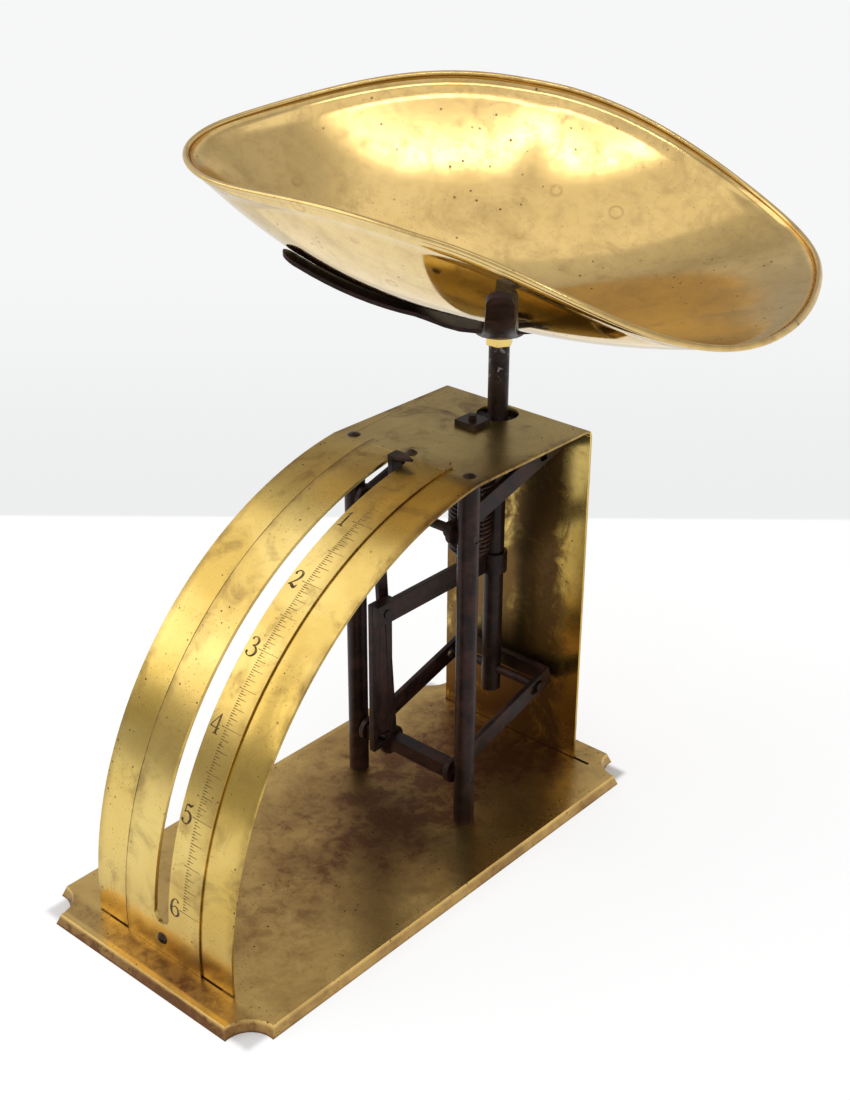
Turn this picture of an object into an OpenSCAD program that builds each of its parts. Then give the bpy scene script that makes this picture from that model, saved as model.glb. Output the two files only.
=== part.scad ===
// Spring scale with a scoop pan, a quadrant dial and a rocking pointer.
// Sizes are in millimetres. Z is up, the dial faces -Y and +X is the reader's right.
// The pillars stand on Y = 0 and the base's rim stands on Z = 0.

/* [Base] */
// Width of the base tray's top
base_w = 130.3; // [124:0.1:138]
// Pillar line to the tray's front edge
base_front = 167.5; // [164:0.1:176]
// Pillar line to the tray's rear edge
base_rear = 89; // [86:0.1:98]
// Height of the tray's top over the table
base_h = 5.2; // [5:0.1:7]
// Thickness of the tray's sheet
base_t = 1; // [0.8:0.1:1.3]
// Radius of the notched corners
notch_r = 13.5; // [10:0.1:16]
// How far the turned-down rim leans out
rim_lean = 1.8; // [0.8:0.1:2.4]

/* [Case] */
// Width of the bent case sheet
case_w = 83.3; // [80:0.1:90]
// Height of the flat top over the tray
case_h = 176; // [172:0.5:184]
// Pillar line to the foot of the dial
case_front = 153.8; // [150:0.1:158]
// Pillar line to the back plate
case_rear = 76; // [75.5:0.1:80]
// Thickness of the case sheet
case_t = 1.3; // [1:0.1:1.5]
// Pillar line to the crease where the dial meets the flat top
crease_y = 4; // [2:0.1:6]
// Height at which the dial stands upright
dial_low = 7; // [4:0.1:10]
// Outside radius of the bend over the back plate
bend_r = 4; // [3:0.1:6]

/* [Dial] */
// Width of the laid-on scale plate
scale_w = 45.8; // [42:0.1:50]
// Thickness of the scale plate
scale_t = 0.9; // [0.6:0.1:1.1]
// Width of the pointer's slot
slot_w = 8.7; // [7.6:0.1:9.4]
// Offset of the scale plate, its slot and its screws from the middle
slot_x = 0.5; // [-0.2:0.1:1.2]
// Height of the slot's lower end over the tray
slot_low = 15.4; // [14:0.1:16]
// Pillar line to the slot's upper end
slot_high = 5; // [4.6:0.1:5.6]
// How far the scale plate runs back over the flat top
scale_back = 5.6; // [5:0.1:7]
// Radius of the scale plate's hollow corners
scallop_r = 4.6; // [3.5:0.1:5.5]
// Height of the scale plate's lower screw
scale_screw_z = 8; // [7.6:0.1:8.4]

/* [Frame] */
// Pillar's distance from the middle
pillar_x = 33.4; // [33:0.1:35]
// Diameter of the pillars
pillar_d = 9.5; // [8:0.1:10]
// Height of the lower lever shaft over the tray
low_z = 24.6; // [24:0.1:26]
// Depth of the upper lever shaft under the case's top
high_drop = 28.2; // [27.5:0.1:31]
// Diameter of the lever shafts
shaft_d = 4.4; // [4:0.1:5]
// Offset of the rod and spring from the middle
mech_x = -1.8; // [-2.4:0.1:-1]
// Radial clearance of a turning fit
run_gap = 0.05; // [0.03:0.01:0.08]
// Radial clearance of a screw or rivet in its hole
screw_gap = 0.1; // [0.05:0.01:0.15]

/* [Levers] */
// Lever arm's distance from the middle
lever_x = 26.4; // [25.5:0.1:26.6]
// Thickness of the lever arms
lever_t = 2.6; // [2:0.1:3]
// Height of the lever arms
lever_h = 9.5; // [8:0.1:10.5]
// Diameter of the cross pins through the rod
pin_d = 4.4; // [3.6:0.1:4.8]
// Sideways clearance of a cross pin in its slot
pin_gap = 0.35; // [0.3:0.01:0.5]

/* [Rod and bracket] */
// Pillar line to the pan rod
rod_y = 62; // [61:0.1:62.6]
// Diameter of the pan rod
rod_d = 9.5; // [8:0.1:10]
// Height of the rod's lower end over the tray
rod_low = 30; // [28:0.1:32]
// Height of the rod's shoulder over the case's top
rod_rise = 33.5; // [28:0.1:38]
// Travel of the rod at full load
travel = 17.2; // [16:0.1:17.6]
// Depth of the bracket bar's lower edge under the case's top
bar_drop = 80.8; // [80:0.1:86]
// Height of the bracket bar
bar_h = 10.5; // [10:0.1:11.5]
// Thickness of the bracket's bars
bar_t = 3; // [2.5:0.1:3.2]
// Width of the bracket's upright
upright_w = 13; // [12.6:0.1:14]
// Pillar line to the middle of the upright
upright_y = 11; // [10.8:0.1:11.4]

/* [Pointer] */
// Throw of the crank pin
crank_r = 12.4; // [12.2:0.1:12.8]
// Diameter of the crank pin
crank_d = 3.6; // [3:0.1:3.8]
// Angle the pointer turns through
sweep = 88; // [84:0.5:89]
// Pointer's angle at rest, from the level line to the rear
point_rest = 94; // [93.5:0.1:94.5]
// Clearance of the crank pin above and below in its slot
crank_gap = 0.45; // [0.4:0.01:0.6]
// Pointer shaft to the outer side of the flag
flag_r = 156.4; // [156.2:0.1:159]

/* [Spring] */
// Pillar line to the spring's axis
spring_y = 44; // [43:0.1:45]
// Outer diameter of the spring
spring_d = 21; // [19:0.1:22]
// Diameter of the spring's wire
wire_d = 1.8; // [1.6:0.1:1.9]
// Depth of the spring's upper end under the case's top
spring_drop = 8; // [7:0.5:10]
// Number of full-width turns
turns = 23; // [20:1:23]

/* [Pan] */
// Length of the pan
pan_len = 281.2; // [270:0.1:300]
// Width of the pan
pan_wide = 188.4; // [180:0.1:200]
// Thickness of the pan's sheet
pan_t = 0.9; // [0.7:0.1:1.2]
// Diameter of the rolled rim
bead_d = 2.8; // [2.4:0.1:3.4]
// Height of the pan's lowest point over the rod's shoulder
pan_seat = 14.4; // [14:0.1:17]
// Height of the rim's middle over the pan's lowest point
pan_deep = 44.5; // [38:0.1:50]
// How far the long sides rise over the ends
pan_saddle = 24.3; // [18:0.1:30]
// How far each end rises or dips as the pan lies
pan_dip = 21.3; // [14:0.1:25]
// How far the rear side rises over the middle
pan_back_rise = 11.8; // [4:0.1:14]
// Pan's turn about the rod
pan_turn = 25; // [18:0.1:32]
// Length of the cradle's long arms
arm_long = 96; // [90:0.5:100]
// Length of the cradle's short arms
arm_short = 88; // [80:0.5:89]
// Width of the cradle's arms at the hub
arm_w = 17; // [15:0.5:19]
// Width of the cradle's arms at the tips
arm_tip_w = 11; // [9:0.5:13]
// Thickness of the cradle's arms
arm_t = 1.9; // [1.7:0.1:2.1]
// Cradle's turn about the rod
arm_turn = 38.5; // [34:0.5:42]

/* [Hidden] */
brass = [0.76, 0.6, 0.26];
brass_light = [0.8, 0.66, 0.32];
brass_bright = [0.88, 0.74, 0.3];
iron = [0.17, 0.14, 0.13];
fine = 96;
mid = 48;
screw_d = 4;
small_d = 2.8;
stud_d = 3.6;
stem_d = 6;
hole_d = 19.5;
tab_x = 27;
tab_w = 16;
lay_gap = 0.05;
end_bore = 0.3;
soft_gap = 0.3;
high_z = case_h - high_drop;
rod_top = case_h + rod_rise;
bar_z = case_h - bar_drop;
spring_high = case_h - spring_drop;
pan_low = rod_top + pan_seat;
top_screw_y = 0.2;
rest_deg = atan(travel / rod_y);
pin_r = rod_y / cos(rest_deg);
dial_dz = case_h - dial_low;
dial_cy = (pow(case_front, 2) - pow(crease_y, 2) - pow(dial_dz, 2)) / (2 * (crease_y - case_front));
dial_r = dial_cy + case_front;
crease_deg = atan2(dial_dz, -crease_y - dial_cy);
foot_deg = 180 + asin((dial_low + base_t + 1.6) / dial_r);
scale_end_deg = 180 + asin((dial_low - 0.1) / dial_r);
slot_low_deg = 180 - asin((slot_low - dial_low) / dial_r);
slot_high_deg = acos((-slot_high - dial_cy) / dial_r);
slot_cap_deg = asin(slot_w / 2 / dial_r);
screw_low_deg = 180 - asin((scale_screw_z - dial_low) / dial_r);
flat_z = base_h + case_h;
lever_in = lever_x - lever_t / 2;
lever_end = (rod_y + rod_d / 2 + 0.8 + lever_h / 2 * sin(rest_deg)) / cos(rest_deg);
bar_x = mech_x - 3.5;
up_x0 = bar_x - 1.5 * bar_t;
up_x1 = bar_x - bar_t / 2;
bar_top = bar_z + bar_h;
bar_mid = bar_z + bar_h / 2;
bar_back = -rod_d / 2 - 1.5;
plate_t = 2.5;
arm_x0 = up_x0 - 1 - plate_t;
hub_d = 11;
hub_x0 = arm_x0 - 4.7;
hub_x1 = arm_x0 + plate_t;
point_w = 6;
joggle_r = 112;
flag_t = 1.2;
flag_x = slot_x + 10.8;
crank_start = 180 - sweep / 2;
crank_y = crank_r * cos(crank_start);
crank_z = low_z + crank_r * sin(crank_start);
foot_z = crank_z - crank_d / 2 - crank_gap - 3;
coil_r = (spring_d - wire_d) / 2;
taper_turns = 3;
end_r = mech_x - bar_x;
coil_rise = spring_high - bar_top - wire_d - soft_gap;
end_drop = 1.6;
pitch = (coil_rise - end_drop) / (turns + taper_turns);
eye_z = bar_top + soft_gap + wire_d / 2;
nut_h = 4.2;
hub_h = 3.2;
hub_z = rod_top + nut_h;
cradle_z = hub_z + hub_h;
arm_root = 12;
arm_rise = 26;
sleeve_w = 7;
pan_cx = mech_x - 7.4;
pan_cy = rod_y + 3.8;
pan_exp = 2.22;
pan_pow = 2.22;
pan_egg = 0.33;
pan_lip = 11.2;
pan_flat = 26.9;
pan_rows = 10;
pan_cols = 72;

// Helpers

module lift(z = 0) {
    translate([0, 0, base_h + z]) children();
}

// A round bar along X from x0 to x1
module bar_along_x(x0, x1, d, y, z) {
    translate([x0, y, z]) rotate([0, 90, 0]) cylinder(h = x1 - x0, d = d, $fn = mid);
}

// A flat outline in Y and Z made w wide along X
module across(w) {
    rotate([90, 0, 90]) translate([0, 0, -w / 2]) linear_extrude(w) children();
}

// A ring sector between two angles counted from the rear
module ring_sector(r0, r1, a0, a1) {
    reach = 2 * r1;
    am = (a0 + a1) / 2;
    intersection() {
        difference() {
            circle(r = r1, $fn = 240);
            circle(r = r0, $fn = 240);
        }
        polygon([[0, 0], reach * [cos(a0), sin(a0)], reach * [cos(am), sin(am)],
                 reach * [cos(a1), sin(a1)]]);
    }
}

// A band of the dial between two angles
module dial_band(r0, r1, w, a0, a1) {
    across(w) translate([dial_cy, base_h + dial_low]) ring_sector(r0, r1, a0, a1);
}

// Something set on the dial at an angle, its Z pointing outwards
module on_dial(deg) {
    translate([0, dial_cy, base_h + dial_low])
        rotate([deg - 90, 0, 0])
        children();
}

// The pointer's slot as a tool, grown by a margin, its ends drilled a touch wider
module slot_tool(grow) {
    w = slot_w + 2 * grow;
    translate([slot_x, 0, 0]) {
        dial_band(dial_r - 4, dial_r + 4, w, slot_high_deg + slot_cap_deg,
                  slot_low_deg - slot_cap_deg);
        for (deg = [slot_high_deg + slot_cap_deg, slot_low_deg - slot_cap_deg])
            on_dial(deg) translate([0, 0, dial_r - 4])
                cylinder(h = 8, d = w + end_bore, $fn = mid);
    }
}

// A low round head of diameter d and height h
module dome(d, h) {
    r = (d * d / 4 + h * h) / (2 * h);
    intersection() {
        translate([0, 0, h - r]) sphere(r = r, $fn = mid);
        cylinder(h = 2 * h, d = 2 * d, $fn = mid);
    }
}

// A slotted round-head screw, its head from z = 0 up
module screw(head_d, head_h, shank_d, shank_l) {
    difference() {
        dome(head_d, head_h);
        translate([-head_d, -0.4, head_h * 0.55]) cube([2 * head_d, 0.8, head_h]);
    }
    translate([0, 0, -shank_l]) cylinder(h = shank_l, d = shank_d, $fn = mid);
}

// A block with four leaning sides
module leaning_block(x, y0, y1, z0, z1, lean) {
    polyhedron(
        points = [
            [-x - lean, y0 - lean, z0], [x + lean, y0 - lean, z0],
            [x + lean, y1 + lean, z0], [-x - lean, y1 + lean, z0],
            [-x, y0, z1], [x, y0, z1], [x, y1, z1], [-x, y1, z1]
        ],
        faces = [
            [0, 1, 2, 3], [4, 7, 6, 5], [0, 4, 5, 1],
            [1, 5, 6, 2], [2, 6, 7, 3], [3, 7, 4, 0]
        ]
    );
}

// The tray's outline as a solid, pulled in by a margin
module tray_solid(pull, drop) {
    x = base_w / 2 - pull;
    y0 = -base_front + pull;
    y1 = base_rear - pull;
    lean = rim_lean / base_h;
    z1 = base_h - drop;
    difference() {
        leaning_block(x, y0, y1, -drop, z1, lean * (z1 + drop));
        for (sx = [-1, 1], y = [-base_front, base_rear])
            translate([sx * base_w / 2, y, -drop])
                cylinder(h = z1 + drop + 0.01, r1 = notch_r + pull - rim_lean,
                         r2 = notch_r + pull, $fn = 60);
    }
}

// Base

module base_tray() {
    color(brass) difference() {
        tray_solid(0, 0);
        tray_solid(base_t * 1.05, base_t);
        translate([-case_w / 2 - 0.4, case_rear - case_t - 0.2, base_h - 2 * base_t])
            cube([case_w + 9, case_t + 0.4, 3 * base_t]);
        for (sx = [-1, 1]) {
            translate([sx * tab_x - tab_w / 2 - 0.2, -case_front - 0.2, base_h - 2 * base_t])
                cube([tab_w + 0.4, case_t + 0.9, 3 * base_t]);
            translate([sx * pillar_x, 0, base_h - 2 * base_t])
                cylinder(h = 3 * base_t, d = screw_d + 2 * screw_gap, $fn = mid);
        }
    }
}

// Case

module case_sheet() {
    foot = base_t + 1.6;
    color(brass) difference() {
        across(case_w) {
            translate([dial_cy, base_h + dial_low])
                ring_sector(dial_r - case_t, dial_r, crease_deg, foot_deg);
            translate([-crease_y, flat_z - case_t])
                square([case_rear - bend_r + crease_y, case_t]);
            translate([case_rear - bend_r, flat_z - bend_r])
                ring_sector(bend_r - case_t, bend_r, 0, 90);
            translate([case_rear - case_t, base_h - foot])
                square([case_t, case_h - bend_r + foot]);
        }
        for (gap = [[-case_w / 2 - 1, -tab_x - tab_w / 2], [-tab_x + tab_w / 2, tab_x - tab_w / 2],
                    [tab_x + tab_w / 2, case_w / 2 + 1]])
            translate([gap[0], -case_front - 2, base_h - 8]) cube([gap[1] - gap[0], 8, 8]);
        slot_tool(0.5);
        translate([mech_x, rod_y, flat_z - 3]) cylinder(h = 6, d = hole_d, $fn = fine);
        translate([mech_x - 2.5, spring_y - 3, flat_z - 3]) cube([5, rod_y - spring_y, 6]);
        for (sx = [-1, 1])
            translate([sx * pillar_x, 0, flat_z - 3])
                cylinder(h = 6, d = screw_d + 2 * screw_gap, $fn = mid);
        translate([slot_x, top_screw_y, flat_z - 3])
            cylinder(h = 6, d = small_d + 2 * screw_gap, $fn = mid);
        translate([slot_x, 0, 0]) on_dial(screw_low_deg) translate([0, 0, dial_r - 4])
            cylinder(h = 8, d = small_d + 2 * screw_gap, $fn = mid);
    }
}

module scale_plate() {
    color(brass_light) difference() {
        translate([slot_x, 0, 0]) across(scale_w) {
            translate([dial_cy, base_h + dial_low])
                ring_sector(dial_r + lay_gap, dial_r + lay_gap + scale_t, crease_deg, scale_end_deg);
            translate([-crease_y - 0.1, flat_z + lay_gap])
                square([scale_back + crease_y + 0.1, scale_t]);
        }
        slot_tool(0);
        for (sx = [-1, 1])
            translate([slot_x + sx * scale_w / 2, scale_back, flat_z - 1])
                cylinder(h = 4, r = scallop_r, $fn = mid);
        translate([slot_x, top_screw_y, flat_z - 1])
            cylinder(h = 4, d = small_d + 2 * screw_gap, $fn = mid);
        translate([slot_x, 0, 0]) on_dial(screw_low_deg) translate([0, 0, dial_r - 4])
            cylinder(h = 8, d = small_d + 2 * screw_gap, $fn = mid);
    }
}

module at_top_screw() {
    translate([slot_x, top_screw_y, flat_z + lay_gap + scale_t]) children();
}

module at_low_screw() {
    translate([slot_x, 0, 0]) on_dial(screw_low_deg)
        translate([0, 0, dial_r + lay_gap + scale_t]) children();
}

module scale_screw() {
    color(iron) screw(5.6, 1.5, small_d, scale_t + case_t + 3.2);
}

module scale_nut() {
    color(iron) translate([0, 0, -scale_t - lay_gap - case_t - 2.4]) difference() {
        cylinder(h = 2.3, d = 6.2, $fn = 6);
        translate([0, 0, -1]) cylinder(h = 5, d = small_d + 2 * run_gap, $fn = mid);
    }
}

module scale_screw_top() {
    at_top_screw() scale_screw();
}

module scale_screw_low() {
    at_low_screw() scale_screw();
}

module scale_nut_top() {
    at_top_screw() scale_nut();
}

module scale_nut_low() {
    at_low_screw() scale_nut();
}

// Frame

module pillar(sx) {
    len = case_h - case_t;
    color(iron) translate([sx * pillar_x, 0, 0]) lift() difference() {
        union() {
            cylinder(h = len - 0.9, d = pillar_d, $fn = fine);
            translate([0, 0, len - 0.9]) cylinder(h = 0.9, d1 = pillar_d, d2 = pillar_d - 1.8, $fn = fine);
        }
        translate([0, 0, -1]) cylinder(h = 13, d = screw_d + 2 * run_gap, $fn = mid);
        translate([0, 0, len - 12]) cylinder(h = 13, d = screw_d + 2 * run_gap, $fn = mid);
        bar_along_x(-pillar_d, pillar_d, shaft_d + 2 * run_gap, 0, low_z);
        bar_along_x(-pillar_d, pillar_d, shaft_d + 2 * run_gap, 0, high_z);
    }
}

module pillar_left() {
    pillar(-1);
}

module pillar_right() {
    pillar(1);
}

module top_rivet(sx) {
    color(iron) translate([sx * pillar_x, 0, flat_z]) {
        dome(6.2, 1);
        translate([0, 0, -11]) cylinder(h = 11, d = screw_d, $fn = mid);
    }
}

module top_rivet_left() {
    top_rivet(-1);
}

module top_rivet_right() {
    top_rivet(1);
}

module foot_screw(sx) {
    color(iron) translate([sx * pillar_x, 0, base_h - base_t]) rotate([180, 0, 0])
        screw(8, 2.2, screw_d, 11);
}

module foot_screw_left() {
    foot_screw(-1);
}

module foot_screw_right() {
    foot_screw(1);
}

module lever_shaft(z) {
    end = pillar_x + pillar_d / 2 - 0.4;
    color(iron) lift() bar_along_x(-end, end, shaft_d, 0, z);
}

module lower_shaft() {
    lever_shaft(low_z);
}

module upper_shaft() {
    lever_shaft(high_z);
}

// A ring on a lever shaft from x0 to x1
module ring_on_shaft(x0, x1, d, z) {
    lift() difference() {
        bar_along_x(x0, x1, d, 0, z);
        bar_along_x(x0 - 1, x1 + 1, shaft_d + 2 * run_gap, 0, z);
    }
}

// A square sleeve on the lower shaft from x0 to x1
module sleeve_on_shaft(x0, x1) {
    color(iron) lift() difference() {
        translate([x0, -sleeve_w / 2, low_z - sleeve_w / 2]) cube([x1 - x0, sleeve_w, sleeve_w]);
        bar_along_x(x0 - 1, x1 + 1, shaft_d + 2 * run_gap, 0, low_z);
    }
}

module lower_sleeve_left() {
    sleeve_on_shaft(-lever_in + 0.1, hub_x0 - 0.1);
}

module lower_sleeve_right() {
    sleeve_on_shaft(hub_x1 + 0.1, lever_in - 0.1);
}

module upper_collar_left() {
    color(iron) ring_on_shaft(-lever_in + 0.1, -lever_in + 3.1, 7.5, high_z);
}

module upper_collar_right() {
    color(iron) ring_on_shaft(lever_in - 3.1, lever_in - 0.1, 7.5, high_z);
}

// Spring and its adjuster

module spring_stud() {
    plug_d = 2 * (coil_r * cos(180 / steps) - wire_d / 2 - soft_gap);
    color(iron) translate([mech_x, spring_y, 0]) lift() {
        translate([0, 0, spring_high - 6]) cylinder(h = 6 + soft_gap, d = plug_d, $fn = mid);
        translate([0, 0, spring_high + soft_gap]) cylinder(h = 1.6, d = spring_d - 1.5, $fn = mid);
        translate([0, 0, spring_high + soft_gap + 1.6])
            cylinder(h = spring_drop - soft_gap + 3.3, d = stud_d, $fn = mid);
    }
}

module zero_nut() {
    color(iron) translate([mech_x, spring_y, flat_z]) difference() {
        translate([-6, -5.5, 0]) cube([12, 11, 2.5]);
        translate([0, 0, -1]) cylinder(h = 5, d = stud_d + 2 * run_gap, $fn = mid);
    }
}

// The spring's centre line: a coil that narrows over its last turns, with a straight end
steps = 8;
coil_n = (turns + taper_turns) * steps;
function coil_radius(i) = let (k = max(0, i / steps - turns) / taper_turns)
    coil_r + (end_r - coil_r) * k;
function coil_pt(i) = let (a = 180 + 360 * i / steps)
    [mech_x + coil_radius(i) * cos(a), spring_y + coil_radius(i) * sin(a),
     base_h + spring_high - wire_d / 2 - pitch * i / steps
     - end_drop * max(0, i / steps - turns - taper_turns + 1)];
function coil_line() = [
    for (i = [0:coil_n]) coil_pt(i),
    for (s = [1:2]) coil_pt(coil_n) + [0, -s * 1.8, 0]
];
function unit(v) = v / norm(v);
function ring_at(pts, i) = let (
    n = len(pts),
    t = unit(pts[min(i + 1, n - 1)] - pts[max(i - 1, 0)]),
    a = i <= coil_n ? 180 + 360 * i / steps : 180,
    q = [cos(a), sin(a), 0],
    u = unit(q - t * (q * t)),
    v = cross(t, u)
) [for (k = [0:5]) pts[i] + wire_d / 2 * (cos(60 * k) * u + sin(60 * k) * v)];

module spring() {
    pts = coil_line();
    n = len(pts);
    near = min([for (i = [0:n - 1]) for (j = [i + 5:min(i + 20, n - 1)]) norm(pts[i] - pts[j])]);
    echo(least_gap_of_spring = near - wire_d);
    color(iron) polyhedron(
        points = [for (i = [0:n - 1]) each ring_at(pts, i)],
        faces = [
            [0, 1, 2, 3, 4, 5],
            for (i = [0:n - 2], k = [0:5]) let (m = (k + 1) % 6)
                [6 * i + k, 6 * i + 6 + k, 6 * i + 6 + m, 6 * i + m],
            [for (k = [5:-1:0]) 6 * (n - 1) + k]
        ]
    );
}

// Levers, drawn level and then raised to their rest angle

module lever(z) {
    w = lever_x + lever_t / 2;
    color(iron) lift(z) rotate([rest_deg, 0, 0]) difference() {
        union() {
            for (sx = [-1, 1])
                translate([sx * lever_x - lever_t / 2, 0, -lever_h / 2])
                    cube([lever_t, lever_end + lever_t, lever_h]);
            translate([-w, lever_end, -lever_h / 2]) cube([2 * w, lever_t, lever_h]);
            for (sx = [-1, 1])
                bar_along_x(sx * lever_x - lever_t / 2, sx * lever_x + lever_t / 2, lever_h + 2.5, 0, 0);
        }
        bar_along_x(-w - 1, w + 1, shaft_d + 2 * run_gap, 0, 0);
        bar_along_x(-w - 1, w + 1, pin_d + 2 * pin_gap, rod_y - 0.6, 0);
        bar_along_x(-w - 1, w + 1, pin_d + 2 * pin_gap, pin_r + 0.6, 0);
        translate([-w - 1, rod_y - 0.6, -pin_d / 2 - pin_gap])
            cube([2 * w + 2, pin_r - rod_y + 1.2, pin_d + 2 * pin_gap]);
    }
}

module lower_lever() {
    lever(low_z);
}

module upper_lever() {
    lever(high_z);
}

// Rod and bracket

module pan_rod() {
    color(iron) difference() {
        translate([mech_x, rod_y, 0]) {
            lift(rod_low) cylinder(h = rod_top - rod_low, d = rod_d, $fn = fine);
            lift(rod_low) cylinder(h = cradle_z + 2 * arm_t - rod_low, d = stem_d, $fn = mid);
        }
        lift() bar_along_x(-20, 20, pin_d + 2 * run_gap, rod_y, low_z + travel);
        lift() bar_along_x(-20, 20, pin_d + 2 * run_gap, rod_y, high_z + travel);
    }
}

module cross_pin(z) {
    end = lever_x + lever_t / 2 + 1;
    color(iron) lift() bar_along_x(-end, end, pin_d, rod_y, z + travel);
}

module lower_cross_pin() {
    cross_pin(low_z);
}

module upper_cross_pin() {
    cross_pin(high_z);
}

module bracket_clamp() {
    cheek = 1.6;
    color(iron) difference() {
        union() {
            translate([mech_x, rod_y, 0]) lift(bar_z)
                cylinder(h = bar_h, d = rod_d + 2 * cheek, $fn = fine);
            translate([bar_x - bar_t / 2 - cheek, rod_y - 15, 0]) lift(bar_z)
                cube([bar_t + 2 * cheek, 12, bar_h]);
        }
        translate([mech_x, rod_y, 0]) lift(bar_z - 1)
            cylinder(h = bar_h + 2, d = rod_d + 2 * run_gap, $fn = fine);
        translate([bar_x - bar_t / 2 - run_gap, rod_y - 16, 0]) lift(bar_z - 1)
            cube([bar_t + 2 * run_gap, bar_back + 16 + 0.1, bar_h + 2]);
        lift() bar_along_x(-20, 20, 3 + 2 * screw_gap, rod_y - 11, bar_mid);
    }
}

module bracket_bar() {
    y0 = -upright_y - upright_w / 2;
    color(iron) difference() {
        union() {
            translate([bar_x - bar_t / 2, y0, 0]) lift(bar_z)
                cube([bar_t, rod_y + bar_back - y0, bar_h]);
            translate([bar_x - bar_t / 2, spring_y - 4, 0]) lift(bar_top - 1)
                cube([bar_t, 3, eye_z + wire_d / 2 + 0.9 - bar_top + 1]);
        }
        lift() bar_along_x(-20, 20, 3 + 2 * screw_gap, rod_y - 11, bar_mid);
        lift() bar_along_x(-20, 20, screw_d + 2 * screw_gap, -upright_y, bar_mid);
        translate([bar_x, spring_y + 1, 0]) lift(eye_z)
            rotate([90, 0, 0]) cylinder(h = 7, d = wire_d + 0.2, $fn = mid);
    }
}

module bracket_pin() {
    color(iron) lift()
        bar_along_x(bar_x - bar_t / 2 - 2.2, bar_x + bar_t / 2 + 2.2, 3, rod_y - 11, bar_mid);
}

module bracket_upright() {
    color(iron) difference() {
        translate([up_x0, -upright_y - upright_w / 2, 0]) lift(foot_z)
            cube([bar_t, upright_w, bar_top - foot_z]);
        lift() bar_along_x(-20, 20, screw_d + 2 * screw_gap, -upright_y, bar_mid);
        lift() bar_along_x(-20, 20, crank_d + 2 * crank_gap, -crank_r - 0.4, crank_z);
        lift() bar_along_x(-20, 20, crank_d + 2 * crank_gap, crank_y + 0.4, crank_z);
        translate([-20, -crank_r - 0.4, 0]) lift(crank_z - crank_d / 2 - crank_gap)
            cube([40, crank_r + crank_y + 0.8, crank_d + 2 * crank_gap]);
    }
}

module bracket_rivet() {
    color(iron) lift() bar_along_x(up_x0, bar_x + bar_t / 2 + 0.5, screw_d, -upright_y, bar_mid);
}

// Cradle

module collar_nut() {
    color(brass_bright) translate([mech_x, rod_y, 0]) lift(rod_top) difference() {
        cylinder(h = nut_h, d = 12.8, $fn = 6);
        translate([0, 0, -1]) cylinder(h = nut_h + 2, d = stem_d + 2 * run_gap, $fn = mid);
    }
}

module cradle_hub() {
    color(iron) translate([mech_x, rod_y, 0]) lift(hub_z) difference() {
        union() {
            cylinder(h = hub_h, d = 10, $fn = fine);
            translate([0, 0, hub_h - 1.7]) cylinder(h = 1.7, d = 23, $fn = fine);
        }
        translate([0, 0, -1]) cylinder(h = hub_h + 2, d = stem_d + 2 * run_gap, $fn = mid);
    }
}

// Height of the pan's inner face over the tray at a point of the plan
function pan_local(x, y) = let (dx = x - pan_cx, dy = y - pan_cy)
    [dx * cos(pan_turn) + dy * sin(pan_turn), dy * cos(pan_turn) - dx * sin(pan_turn)];
function rim_height(c, s) = pan_deep - pan_dip * c + pan_back_rise * s
    + s * s * (pan_saddle - pan_lip * c - pan_flat * c * c);
function sgn_pow(a, k) = sign(a) * pow(abs(a), k);
function pan_find(p, c, k) = let (
    a = abs(p[0]) / (pan_len / 2),
    b = abs(p[1]) / (pan_wide / 2) / (1 + pan_egg * c),
    r = max(0.0001, pow(pow(a, pan_exp) + pow(b, pan_exp), 1 / pan_exp))
) k == 0 ? [r, sgn_pow(p[0] / (pan_len / 2) / r, pan_exp / 2), sign(p[1]) * pow(b / r, pan_exp / 2)]
    : pan_find(p, sgn_pow(p[0] / (pan_len / 2) / r, pan_exp / 2), k - 1);
function pan_height(x, y) = let (q = pan_find(pan_local(x, y), 0, 12))
    pan_low + rim_height(q[1], q[2]) * pow(q[0], pan_pow);
function pan_under(x, y) = let (
    gx = pan_height(x + 0.5, y) - pan_height(x - 0.5, y),
    gy = pan_height(x, y + 0.5) - pan_height(x, y - 0.5)
) pan_height(x, y) - pan_t * sqrt(1 + gx * gx + gy * gy);

// An arm leaves the hub level and then lies close along the underside of the pan
function arm_half(r, reach) = (arm_w + (arm_tip_w - arm_w) * min(1, abs(r) / reach)) / 2;
function arm_roof(deg, r, reach) = min([
    for (q = [-1:0.25:1]) let (side = q * arm_half(r, reach))
    pan_under(mech_x + r * cos(deg) - side * sin(deg), rod_y + r * sin(deg) + side * cos(deg))
]) - soft_gap;
function arm_share(r) = let (k = min(1, max(0, (abs(r) - arm_root) / arm_rise))) k * k * (3 - 2 * k);
function arm_height(deg, r, reach, z0) = z0 + (arm_roof(deg, r, reach) - z0) * arm_share(r);
function arm_slope(deg, r, reach, z0) =
    (arm_height(deg, r + 0.5, reach, z0) - arm_height(deg, r - 0.5, reach, z0));

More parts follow.
